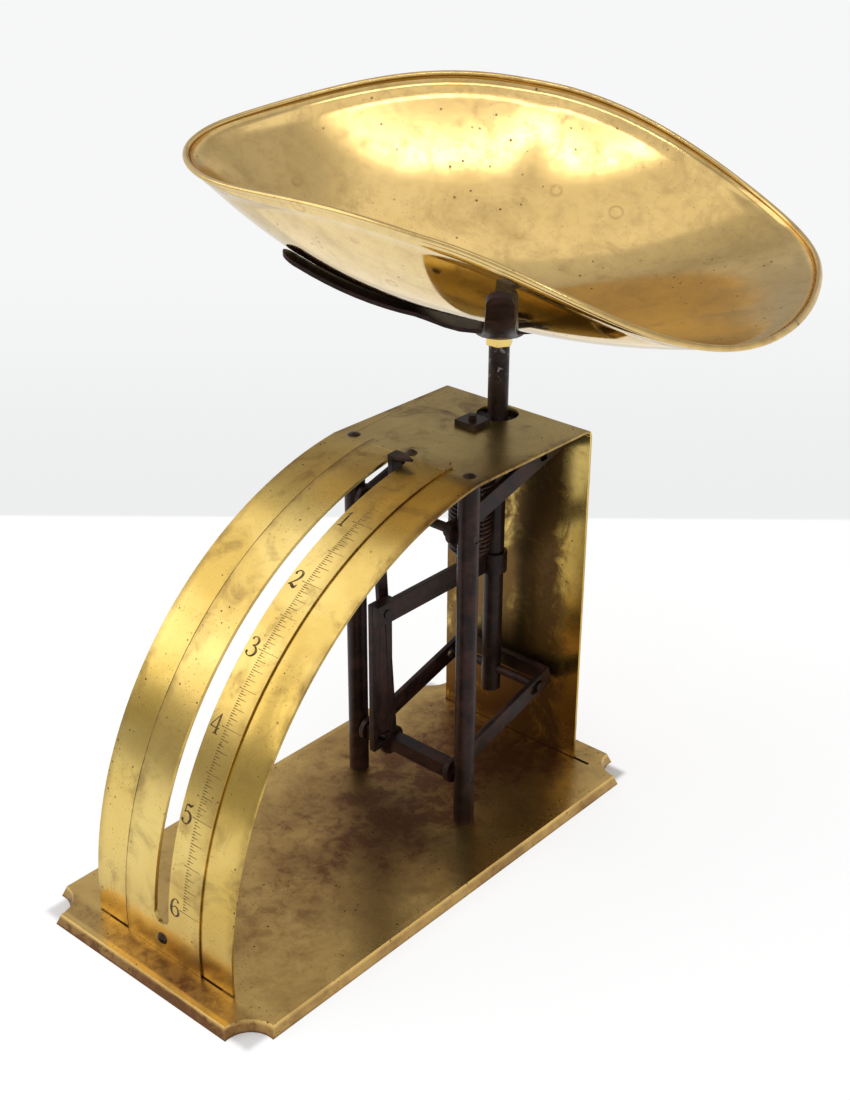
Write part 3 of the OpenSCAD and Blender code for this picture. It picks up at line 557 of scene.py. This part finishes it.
for name, node in nodes.items():
    if name in BRASS_NODES:
        finish, width = BRASS_NODES[name]
    elif name in ROD_NODES:
        finish, width = ROD_NODES[name], IRON_EDGE
    elif name in SCREW_NODES:
        finish, width = screw_iron, SCREW_EDGE
    else:
        finish, width = works_iron, IRON_EDGE
    node.data.materials.clear()
    node.data.materials.append(finish)
    if name not in REPLACED:
        break_edges(node, width)
print("dressed", len(nodes), "packed pieces")

# %% [markdown]
# ## Meshes from rings of points
# Round wire and struck lines are the same job: a row of rings, each joined to the next.
# Blender's curves could make the wire, but not a line whose width swells on a curved plate. Two
# helpers make both: one joins the rings, and one turns points and faces into a piece with
# smooth shading and a finish.


# %% A mesh from rings
def mesh_piece(name, points, faces, finish, smooth=True):
    """A piece of these points and faces, in this finish."""
    mesh = bpy.data.meshes.new(name)
    mesh.from_pydata([tuple(p) for p in points], [], faces)
    mesh.validate()
    piece = bpy.data.objects.new(name, mesh)
    bpy.context.scene.collection.objects.link(piece)
    mesh.materials.append(finish)
    mesh.polygons.foreach_set("use_smooth", [smooth] * len(mesh.polygons))
    return piece


def tube_faces(rings, sides, start=0):
    """Quads round a row of rings, with a flat cap at each end."""
    faces = []
    for i in range(rings - 1):
        for k in range(sides):
            a, b = start + i * sides + k, start + i * sides + (k + 1) % sides
            faces.append((a, b, b + sides, a + sides))
    faces.append(tuple(start + k for k in reversed(range(sides))))
    faces.append(tuple(start + (rings - 1) * sides + k for k in range(sides)))
    return faces


print("a tube of two rings with ten sides has", len(tube_faces(2, 10)), "faces")

# %% [markdown]
# ## The coil spring
# The spring hangs from a plug under the top plate and its lower end is hooked into the bracket
# bar. It is wound close, narrows over its last turns and drops straight into its eye. The packed
# spring has six-sided wire, so it is wound again here on the same line with round wire. A screw
# modifier can't narrow a coil, so the line is worked out point by point.

# %% The spring's line
SPRING_Y = 44
WIRE = 1.8
COIL_R = (21.0 - WIRE) / 2
# the last turns narrow to this radius, and the end falls by this much more
END_R = 3.5
LAST_FALL = 1.6
TURNS, TAPER = 23, 3
# heights over the tray: under the plug, and on top of the bracket bar
PLUG_HIGH = 168
BAR_TOP = 95.2 + 10.5
SOFT_GAP = 0.3
SPRING_TOP = TRAY_TOP + PLUG_HIGH - WIRE / 2
SPRING_RISE = PLUG_HIGH - BAR_TOP - WIRE - SOFT_GAP
PITCH = (SPRING_RISE - LAST_FALL) / (TURNS + TAPER)
# steps to a turn, the last step of the coil, and the four short steps of its straight end
STEPS = 28
LAST = (TURNS + TAPER) * STEPS
END_STEP, END_STEPS = 0.9, 4


def coil_point(i):
    """The wire's middle after i steps from the top."""
    turn = i / STEPS
    radius = COIL_R + (END_R - COIL_R) * max(0.0, turn - TURNS) / TAPER
    a = math.pi + 2 * math.pi * turn
    drop = PITCH * turn + LAST_FALL * max(0.0, turn - TURNS - TAPER + 1)
    x, y = MECH_X + radius * math.cos(a), SPRING_Y + radius * math.sin(a)
    return np.array([x, y, SPRING_TOP - drop])


print("gap between two turns in mm:", round(PITCH - WIRE, 3))


# %% Wind the spring
def wind_spring(sides=10):
    """Rings of points along the line, square to it, with a short straight end in the eye."""
    line = [coil_point(i) for i in range(LAST + 1)]
    end = line[-1]
    line += [end + np.array([0, -END_STEP * k, 0]) for k in range(1, END_STEPS + 1)]
    points = []
    for i, here in enumerate(line):
        along = line[min(i + 1, len(line) - 1)] - line[max(i - 1, 0)]
        along = along / np.linalg.norm(along)
        if i <= LAST:
            out = here - np.array([MECH_X, SPRING_Y, here[2]])
        u = out - along * (out @ along)
        u = u / np.linalg.norm(u)
        v = np.cross(along, u)
        for k in range(sides):
            a = 2 * math.pi * k / sides
            points.append((here + WIRE / 2 * (math.cos(a) * u + math.sin(a) * v)) * MM)
    faces = tube_faces(len(line), sides)
    return mesh_piece("spring_wire", points, faces, works_iron)


spring_wire = wind_spring()
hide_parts("spring")
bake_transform(spring_wire)
print("spring wire:", len(spring_wire.data.vertices), "points")

# %% [markdown]
# ## The scoop pan
# The pan is one brass sheet raised into a saddle: high at the sides, low at the pouring end and
# narrower at the other. Its edge is turned out and rolled round a wire, which leaves a fine line
# inside, about seven millimetres under the rim. The packed pan has the same form in flat facets.
# Smoothing those facets would move its sides, so the same formula is sampled again, finely, and
# the rim gets its fold line and its round bead.

# %% The pan's form
PAN_HALF_LEN, PAN_HALF_WIDE = 281.2 / 2, 188.4 / 2
PAN_LOW = TRAY_TOP + 223.9
PAN_T = 0.9
# 2 would make an ellipse and a round bowl, and more is squarer; the other end is narrower
PAN_POWER, PAN_EGG = 2.22, 0.33
# the rim's height: its middle, the dip of the pouring end and the rise of the rear side
RIM_MIDDLE, RIM_DIP, RIM_BACK = 44.5, 21.3, 11.8
# how far the long sides rise, and what the pouring end and both ends take off that
RIM_SADDLE, RIM_LIP, RIM_FLAT = 24.3, 11.2, 26.9
BEAD_R = 1.4
FOLD_MM, FOLD_DEPTH, FOLD_WIDE = 7.0, 0.35, 0.8


def signed_power(value, power):
    """The power of a value's size, with the value's sign."""
    return math.copysign(abs(value) ** power, value)


def rim_height(c, s):
    """The rim over the pan's lowest point, from the cosine and the sine of the turn."""
    saddle = RIM_SADDLE - RIM_LIP * c - RIM_FLAT * c * c
    return RIM_MIDDLE - RIM_DIP * c + RIM_BACK * s + s * s * saddle


def pan_point(rho, turn):
    """The inner face, from rho 0 in the middle to 1 at the rim."""
    c, s = math.cos(turn), math.sin(turn)
    return np.array([
        rho * PAN_HALF_LEN * signed_power(c, 2 / PAN_POWER),
        rho * PAN_HALF_WIDE * signed_power(s, 2 / PAN_POWER) * (1 + PAN_EGG * c),
        rim_height(c, s) * rho ** PAN_POWER,
    ])


quarters = [rim_height(math.cos(k * math.pi / 2), math.sin(k * math.pi / 2)) for k in range(4)]
print("height of the rim at its four sides in mm:", [round(high, 1) for high in quarters])

# %% [markdown]
# ### One line of the section
# A real rim is shaped in section, so the pan is built from sections too: up the inner face, over
# the fold line, round the bead and down the outer face. A thickness modifier and a bent tube for
# the bead would cross each other at the rim, while one line keeps the sheet whole.

# %% The pan's section
# how near to a point its directions are measured, and the share of rho that gives the rim's slope
NEAR_RHO, NEAR_TURN, EDGE_SHARE = 0.002, 0.004, 0.03
# the bead's points, in degrees from the rim's outward direction, from above to below
BEAD_DEG = range(158, -176, -18)


def pan_axes(rho, turn):
    """The direction to the rim and the direction out of the inner face."""
    along = pan_point(rho + NEAR_RHO, turn) - pan_point(rho - NEAR_RHO, turn)
    across = pan_point(rho, turn + NEAR_TURN) - pan_point(rho, turn - NEAR_TURN)
    along = along / np.linalg.norm(along)
    up = np.cross(along, across)
    return along, up / np.linalg.norm(up)


def pan_column(turn, rows):
    """One line of the pan's section: inner face, round the bead, outer face."""
    rim = pan_point(1, turn)
    slope = np.linalg.norm(rim - pan_point(1 - EDGE_SHARE, turn)) / EDGE_SHARE
    fold = 1 - FOLD_MM / slope
    lip = FOLD_WIDE / slope
    shares = [fold * (k + 1) / rows for k in range(rows)]
    shares += [fold + lip, fold + 3 * lip, 1 - 2 * lip]
    sunk = [0.0] * rows + [FOLD_DEPTH] * 3
    inner, outer = [], []
    for rho, drop in zip(shares, sunk):
        along, up = pan_axes(rho, turn)
        here = pan_point(rho, turn)
        inner.append(here - up * drop)
        outer.append(here - up * (drop + PAN_T))
    along, up = pan_axes(1.0, turn)
    middle = rim - up * (PAN_T / 2 + FOLD_DEPTH * 0.5) - along * BEAD_R * 0.2
    bead = []
    for angle in BEAD_DEG:
        a = math.radians(angle)
        bead.append(middle + BEAD_R * (math.cos(a) * along + math.sin(a) * up))
    return inner + bead + outer[::-1]


print("points on one line of the section:", len(pan_column(0, 34)))

# %% [markdown]
# ### Raise the pan
# The lines stand side by side right round the pan, and one point inside and one outside close
# it. Faces behind the bead's underside take the brighter finish, which is how one sheet shows
# two sides. The pan lies on its cradle turned a little about the rod, as the real one does.

# %% Raise the pan
PAN_TURN = math.radians(25)
PAN_MIDDLE = (MECH_X - 7.4, ROD_Y + 3.8, PAN_LOW)
# points of each line's fold and bead that still belong to the inside
FOLD_POINTS, BEAD_POINTS = 3, 12


def turned_up(points):
    """The points turned about the upright and set over the cradle, in metres."""
    c, s = math.cos(PAN_TURN), math.sin(PAN_TURN)
    spin = np.array([[c, -s, 0], [s, c, 0], [0, 0, 1]])
    return [(spin @ p + np.array(PAN_MIDDLE)) * MM for p in points]


def raise_pan(columns=168, rows=34):
    """The whole sheet as one closed mesh with two finishes."""
    lines = [pan_column(2 * math.pi * k / columns, rows) for k in range(columns)]
    count = len(lines[0])
    points = [line[i] for i in range(count) for line in lines]
    faces = []
    for i in range(count - 1):
        low, high = i * columns, (i + 1) * columns
        for k in range(columns):
            m = (k + 1) % columns
            faces.append((low + k, low + m, high + m, high + k))
    points += [np.array([0, 0, 0.0]), np.array([0, 0, -PAN_T])]
    top, bottom = count * columns, count * columns + 1
    for k in range(columns):
        m = (k + 1) % columns
        faces.append((top, m, k))
        faces.append((bottom, top - columns + k, top - columns + m))
    piece = mesh_piece("pan_sheet", turned_up(points), faces, pan_inside)
    piece.data.materials.append(pan_outside)
    first_outer = (rows + FOLD_POINTS + BEAD_POINTS) * columns
    for face in piece.data.polygons:
        last = max(face.vertices)
        on_side = last < top and sum(face.vertices) / len(face.vertices) > first_outer
        if on_side or last == bottom:
            face.material_index = 1
    return piece


pan_sheet = raise_pan()
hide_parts("pan")
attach(pan_sheet, "pan")
print("pan sheet:", len(pan_sheet.data.polygons), "faces")

# %% [markdown]
# ## Figures and divisions on the dial
# The figures 1 to 6 and the divisions were struck into the plate with punches and a graver, and
# dirt has blackened them. Each pound has 32 divisions, which are longer at the ounces, the
# quarters and the half. Blender's own text would float flat before the curve, so each mark is a
# row of thin rings, and every point is laid on the dial's own curve.

# %% Places on the dial
PLATE_R = DIAL_R + 0.95
# the pointer's angle at each whole pound
POUND_DEG = [94.6, 109.0, 122.1, 134.8, 147.9, 162.9, 178.8]


def on_plate(x, angle, lift):
    """A point over the plate's face, from its place across the dial and the dial's own angle."""
    r = PLATE_R + lift
    return mm(x, DIAL_Y + r * math.cos(angle), DIAL_Z + r * math.sin(angle))


def dial_angle(shaft_deg):
    """Where a line from the pointer's shaft meets the plate, as the dial's own angle."""
    a = math.radians(shaft_deg)
    dy, dz = math.cos(a), math.sin(a)
    oy, oz = -DIAL_Y, SHAFT_Z - DIAL_Z
    b = oy * dy + oz * dz
    reach = -b + math.sqrt(b * b - (oy * oy + oz * oz) + PLATE_R**2)
    return math.atan2(oz + reach * dz, oy + reach * dy)


print("dial angles of the pounds:", [round(math.degrees(dial_angle(a)), 1) for a in POUND_DEG])

# %% [markdown]
# ### Strokes like a pen's
# A punch cutter draws a figure as a few strokes that swell and thin. A stroke here is a short
# list of places with a width at each, a smooth curve is drawn through them, and each place on
# the curve becomes a ring of four points, a little over and a little under the plate's face.

# %% Strokes
MARK_UP, MARK_DOWN = 0.04, 0.06


def smooth_line(stroke, parts=6):
    """A curve through the stroke's points, with its width."""
    stroke = [np.array(p, float) for p in stroke]
    if len(stroke) == 2:
        return [stroke[0] + (stroke[1] - stroke[0]) * t for t in (0, 0.5, 1)]
    line = []
    padded = [2 * stroke[0] - stroke[1], *stroke, 2 * stroke[-1] - stroke[-2]]
    for a, b, c, d in zip(padded, padded[1:], padded[2:], padded[3:]):
        for k in range(parts):
            t = k / parts
            line.append(0.5 * (2 * b + (c - a) * t + (2 * a - 5 * b + 4 * c - d) * t * t
                               + (3 * b - a - 3 * c + d) * t**3))
    return line + [stroke[-1]]


class Marks:
    """Collects strokes on the dial into one mesh."""

    def __init__(self):
        self.points, self.faces = [], []

    def stroke(self, line, x, angle):
        """line holds (across, up, width) in mm from the mark's own origin on the dial."""
        start = len(self.points)
        for i, (px, py, width) in enumerate(line):
            ahead = line[min(i + 1, len(line) - 1)][:2] - line[max(i - 1, 0)][:2]
            side = np.array([-ahead[1], ahead[0]]) / max(1e-6, np.linalg.norm(ahead)) * width / 2
            for lift, s in ((MARK_UP, 1), (MARK_UP, -1), (-MARK_DOWN, -1), (-MARK_DOWN, 1)):
                qx, qy = px + s * side[0], py + s * side[1]
                self.points.append(on_plate(x + qx, angle - qy / PLATE_R, lift))
        self.faces += tube_faces(len(line), 4, start)


print("points on a curve through three places:", len(smooth_line([(0, 0, 1)] * 3)))

# %% Strike the dial
# each figure's strokes, as (across, up, width) in shares of its height
FIGURES = {
    1: [[(.06, .80, .03), (.17, .88, .05), (.25, 1.0, .05)], [(.24, .99, .10), (.24, .05, .12)],
        [(.06, .02, .05), (.24, .04, .06), (.42, .02, .05)]],
    2: [[(.13, .72, .14), (.09, .82, .10), (.24, .97, .06), (.44, .90, .13), (.49, .72, .15),
         (.38, .46, .10), (.05, .10, .04)],
        [(.05, .10, .04), (.16, .17, .12), (.32, .09, .17), (.46, .04, .12), (.55, .22, .04)]],
    3: [[(.10, .80, .14), (.13, .92, .08), (.32, .98, .06), (.49, .83, .14), (.44, .62, .09),
         (.24, .54, .04)],
        [(.24, .54, .04), (.46, .50, .08), (.61, .30, .16), (.50, .07, .10), (.26, .01, .05),
         (.09, .12, .10), (.12, .22, .15)]],
    4: [[(.45, 1.0, .05), (.02, .32, .05)], [(.01, .29, .06), (.60, .29, .06)],
        [(.44, .98, .10), (.44, .05, .13)], [(.28, .02, .05), (.60, .02, .05)]],
    5: [[(.17, .90, .05), (.30, .94, .12), (.44, .92, .12), (.58, 1.04, .04)],
        [(.17, .95, .05), (.12, .54, .05)],
        [(.12, .54, .04), (.28, .63, .07), (.50, .52, .14), (.56, .28, .15), (.42, .04, .09),
         (.22, .01, .05), (.06, .12, .11), (.10, .22, .15)]],
    6: [[(.54, .82, .14), (.50, .95, .07), (.32, .97, .05), (.14, .76, .12), (.08, .42, .16),
         (.14, .14, .13), (.32, .02, .05), (.52, .10, .11), (.60, .30, .15), (.50, .51, .09),
         (.32, .56, .05), (.15, .44, .05)]],
}
FIGURE_HIGH, FIGURE_X = 8.5, 5.9
# reach of a division to the left and to the right of their common line, and its width, by how
# many of a pound's 32 parts it closes
PARTS, DIVISION_X = 32, 13.7
DIVISIONS = {32: (2.1, 9.2, 0.30), 16: (1.6, 7.6, 0.30), 8: (0, 6.2, 0.36), 4: (0, 4.7, 0.36),
             2: (0, 3.1, 0.40), 1: (0, 1.5, 0.44)}
INK_DARK, INK_WORN, INK_GONE = (0.05, 0.028, 0.010), (0.22, 0.14, 0.05), (0.50, 0.33, 0.12)
# the height at which the marks fade, in metres
MARKS_FADE = (0.1715, 0.1755)


def strike_dial():
    """All figures and all divisions."""
    marks = Marks()
    for pound, strokes in FIGURES.items():
        angle = dial_angle(POUND_DEG[pound])
        for stroke in strokes:
            line = [np.array([p[0], p[1] - 0.5, p[2]]) * FIGURE_HIGH for p in smooth_line(stroke)]
            marks.stroke(line, FIGURE_X, angle)
    for k in range(len(FIGURES) * PARTS + 1):
        left, right, width = DIVISIONS[math.gcd(k, PARTS)]
        deg = float(np.interp(k / PARTS, range(len(POUND_DEG)), POUND_DEG))
        line = [np.array([-left + (left + right) * t, 0.0, width * (1 - 0.6 * t)])
                for t in (0, 0.5, 1)]
        marks.stroke(line, DIVISION_X, dial_angle(deg))
    return marks


def ink_finish():
    """Old grime in the cuts, rubbed out where the plate bends over at the top."""
    f = new_finish("graver black")
    wear = f.noise(300, 3, 0.6)
    colour = f.mix(wear.step(0.4, 0.7), INK_DARK, INK_WORN)
    worn = f.axis("Z").step(*MARKS_FADE) * 0.8
    colour = f.mix(worn, colour, INK_GONE)
    return f.done(Base_Color=colour, Metallic=0.6 + worn * 0.5, Roughness=0.5 - worn * 0.2)


marks = strike_dial()
ink = ink_finish()
dial_marks = mesh_piece("dial_marks", marks.points, marks.faces, ink, False)
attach(dial_marks, "frame")
print("dial marks:", len(marks.faces), "faces")

# %% [markdown]
# ## The table
# The scale stands on a white table before a pale grey wall. More light would whiten the table
# but wash out the brass, so only rays from the camera and from glossy metal see it brighter
# than it is lit. It stays matt under the tray, where no light comes, and beyond one straight
# line its colour turns to the wall's grey.

# %% Lay the table
# the ground under the tray, in metres: to a side, at the front and at the back
UNDER_SIDE, UNDER_FRONT, UNDER_BACK = (0.062, 0.066), (-0.169, -0.165), (0.086, 0.090)
# how far off the table ends, and over what distance the wall grows lighter
WALL_LINE, WALL_FADE = (0.306, 0.314), (0.31, 0.9)
WALL_NEAR, WALL_FAR = (0.700, 0.703, 0.707), (0.761, 0.763, 0.767)
TABLE_WHITE, TABLE_MATT, GLOW = (1.0, 1.0, 1.0), (0.86, 0.86, 0.86, 1), 1.22
# how much of the glow the camera and glossy metal see, and how much more of it beyond the line
SEEN_SHARE, GLOSS_SHARE, WALL_SHARE = 0.62, 0.60, 0.38


def table_finish():
    """Matt white with a share of glow for some rays."""
    f = new_finish("white table")
    seen = f.node("LightPath", {}, {}, "Is Camera Ray")
    gloss = f.node("LightPath", {}, {}, "Is Glossy Ray")
    clear = (seen * SEEN_SHARE + gloss * GLOSS_SHARE).limited()
    x, y = f.axis("X"), f.axis("Y")
    under = (1 - abs(x).step(*UNDER_SIDE)) * y.step(*UNDER_FRONT) * (1 - y.step(*UNDER_BACK))
    away = y * math.cos(AZIMUTH) - x * math.sin(AZIMUTH)
    wall = away.step(*WALL_LINE)
    grey = f.mix(away.step(*WALL_FADE), WALL_NEAR, WALL_FAR)
    shown = f.mix(wall, TABLE_WHITE, grey)
    matt = f.node("BsdfDiffuse", {}, {"Color": TABLE_MATT})
    glow = f.node("Emission", {}, {"Color": shown, "Strength": GLOW})
    share = (clear * (1 - under) + wall * seen * WALL_SHARE).limited()
    both = f.node("MixShader", {}, {0: share, 1: matt, 2: glow})
    f.node("OutputMaterial", {}, {"Surface": both})
    return f.owner


def lay_table(half=12.0):
    """One large square, marked as the stage."""
    mesh = bpy.data.meshes.new("table")
    corners = [(-half, -half, 0), (half, -half, 0), (half, half, 0), (-half, half, 0)]
    mesh.from_pydata(corners, [], [(0, 1, 2, 3)])
    table = bpy.data.objects.new("table", mesh)
    bpy.context.scene.collection.objects.link(table)
    mesh.materials.append(table_finish())
    return table


table = lay_table()
print("the table is", round(table.dimensions.x), "metres wide")

# %% [markdown]
# ## The room
# Metal is only as good as what it reflects. An evenly grey world makes brass look flat, and a
# picture of a room would bring in more than the scale needs. So the room is a slow gradient
# from floor to ceiling with two darker sides: one that the middle of the dial mirrors, and one
# that the top mirrors. The camera itself sees a plain pale wall.

# %% Light the room
# height from floor to ceiling, and the room's colour there
ROOM_STOPS = [
    (0.0, (0.60, 0.60, 0.60)), (0.5, (0.84, 0.84, 0.85)), (0.72, (0.78, 0.78, 0.79)),
    (0.85, (0.50, 0.50, 0.51)), (1.0, (0.76, 0.76, 0.77)),
]
# a darker side's direction, and how near to it the room begins to darken and is darkest
DARK_SIDES = [
    ((-0.629, -0.777, 0.03), (0.93, 0.985)),
    ((-0.561, 0.801, 0.208), (0.90, 0.98)),
]
DARK, DARK_SHARE = (0.20, 0.19, 0.18), 0.6
# what the camera sees past the table
ROOM_SEEN = (0.93, 0.93, 0.935)


def light_room():
    """The world, as a gradient with two darker sides."""
    world = bpy.data.worlds.new("room")
    bpy.context.scene.world = world
    f = Finish(world, "Generated")
    room = f.node("ValToRGB", {"stops": ROOM_STOPS}, {"Fac": f.axis("Z") * 0.5 + 0.5})
    for way, near in DARK_SIDES:
        toward = f.node("VectorMath", {"operation": "DOT_PRODUCT"}, {0: f.place, 1: way}, "Value")
        room = f.mix(toward.step(*near) * DARK_SHARE, room, DARK)
    seen = f.node("LightPath", {}, {}, "Is Camera Ray")
    colour = f.mix(seen, room, ROOM_SEEN)
    glow = f.node("Background", {}, {"Color": colour, "Strength": 1.0})
    f.node("OutputWorld", {}, {"Surface": glow})
    return world


print("the room's world:", light_room().name)

# %% [markdown]
# ## The lamps
# A window at the left lights the dial and the case, and a soft lamp overhead fills the shadows.
# The bright arc in the pan is the mirror image of something narrow, high up at the front right:
# two strips at an angle draw it, and a weak wide lamp behind them softens its edge. One big lamp
# would fill the whole pan with light instead.

# %% Hang the lamps
# where the lamps that light the pan look to
PAN_AIM = (-0.06, 0.1, 0.27)


def add_lamp(name, azimuth, elevation, far, size, glow, aim, tilt=0):
    """An area lamp seen from the aim under two angles; glow is its brightness, 1 being white."""
    a, e = math.radians(azimuth), math.radians(elevation)
    way = Vector((math.cos(a) * math.cos(e), math.sin(a) * math.cos(e), math.sin(e)))
    data = bpy.data.lights.new(name, "AREA")
    data.shape = "RECTANGLE"
    data.size, data.size_y = size
    data.energy = glow * math.pi * size[0] * size[1]
    lamp = bpy.data.objects.new(name, data)
    bpy.context.scene.collection.objects.link(lamp)
    lamp.location = Vector(aim) + way * far
    turned = way.to_track_quat("Z", "Y") @ Quaternion((0, 0, 1), math.radians(tilt))
    lamp.rotation_euler = turned.to_euler()


# the two numbers after a lamp's name are its azimuth and its elevation in degrees
add_lamp("window_left", -150, 43, far=1.3, size=(1.2, 1.15), glow=1.18, aim=(0, -0.1, 0.12))
add_lamp("strip_top", -40, 52, far=1.3, size=(0.24, 0.035), glow=16, aim=PAN_AIM, tilt=37)
add_lamp("strip_side", -32, 48, far=1.3, size=(0.035, 0.22), glow=8, aim=PAN_AIM)
add_lamp("bounce_front", -38, 46, far=1.5, size=(0.45, 0.36), glow=0.25, aim=PAN_AIM)
add_lamp("overhead", -60, 80, far=1.4, size=(0.9, 0.9), glow=0.45, aim=(0, 0.1, 0.25))

# %% [markdown]
# ## The camera
# The camera stands where the photographer stood, to the right of the dial and a little above
# it. It could be pushed about until the view looks right, but its place, its aim and its lens
# were worked out from the straight edges of the case and the tray instead, so the render can be
# laid over the photograph.

# %% Set the camera
ELEVATION, ROLL = math.radians(27.0), math.radians(0.27)
CAMERA_MM = (438.6, -490.8, 470.4)
LENS_MM, SENSOR_MM = 54.435, 36


def camera_axes():
    """The picture's rightward and upward directions, and the one back to the camera."""
    level = math.cos(ELEVATION)
    back = Vector((math.sin(AZIMUTH) * level, -math.cos(AZIMUTH) * level, math.sin(ELEVATION)))
    right = Vector((math.cos(AZIMUTH), math.sin(AZIMUTH), 0))
    up = back.cross(right)
    c, s = math.cos(ROLL), math.sin(ROLL)
    return c * right + s * up, -s * right + c * up, back


camera_data = bpy.data.cameras.new("camera")
camera_data.lens = LENS_MM
camera_data.sensor_width = SENSOR_MM
camera_data.clip_end = 20
camera = bpy.data.objects.new("camera", camera_data)
bpy.context.scene.collection.objects.link(camera)
turn = Matrix(camera_axes()).transposed().to_4x4()
camera.matrix_world = Matrix.Translation(mm(*CAMERA_MM)) @ turn
bpy.context.scene.camera = camera
bpy.context.scene.view_settings.view_transform = "Standard"
print("camera at", tuple(round(v, 3) for v in camera.location))

# %% [markdown]
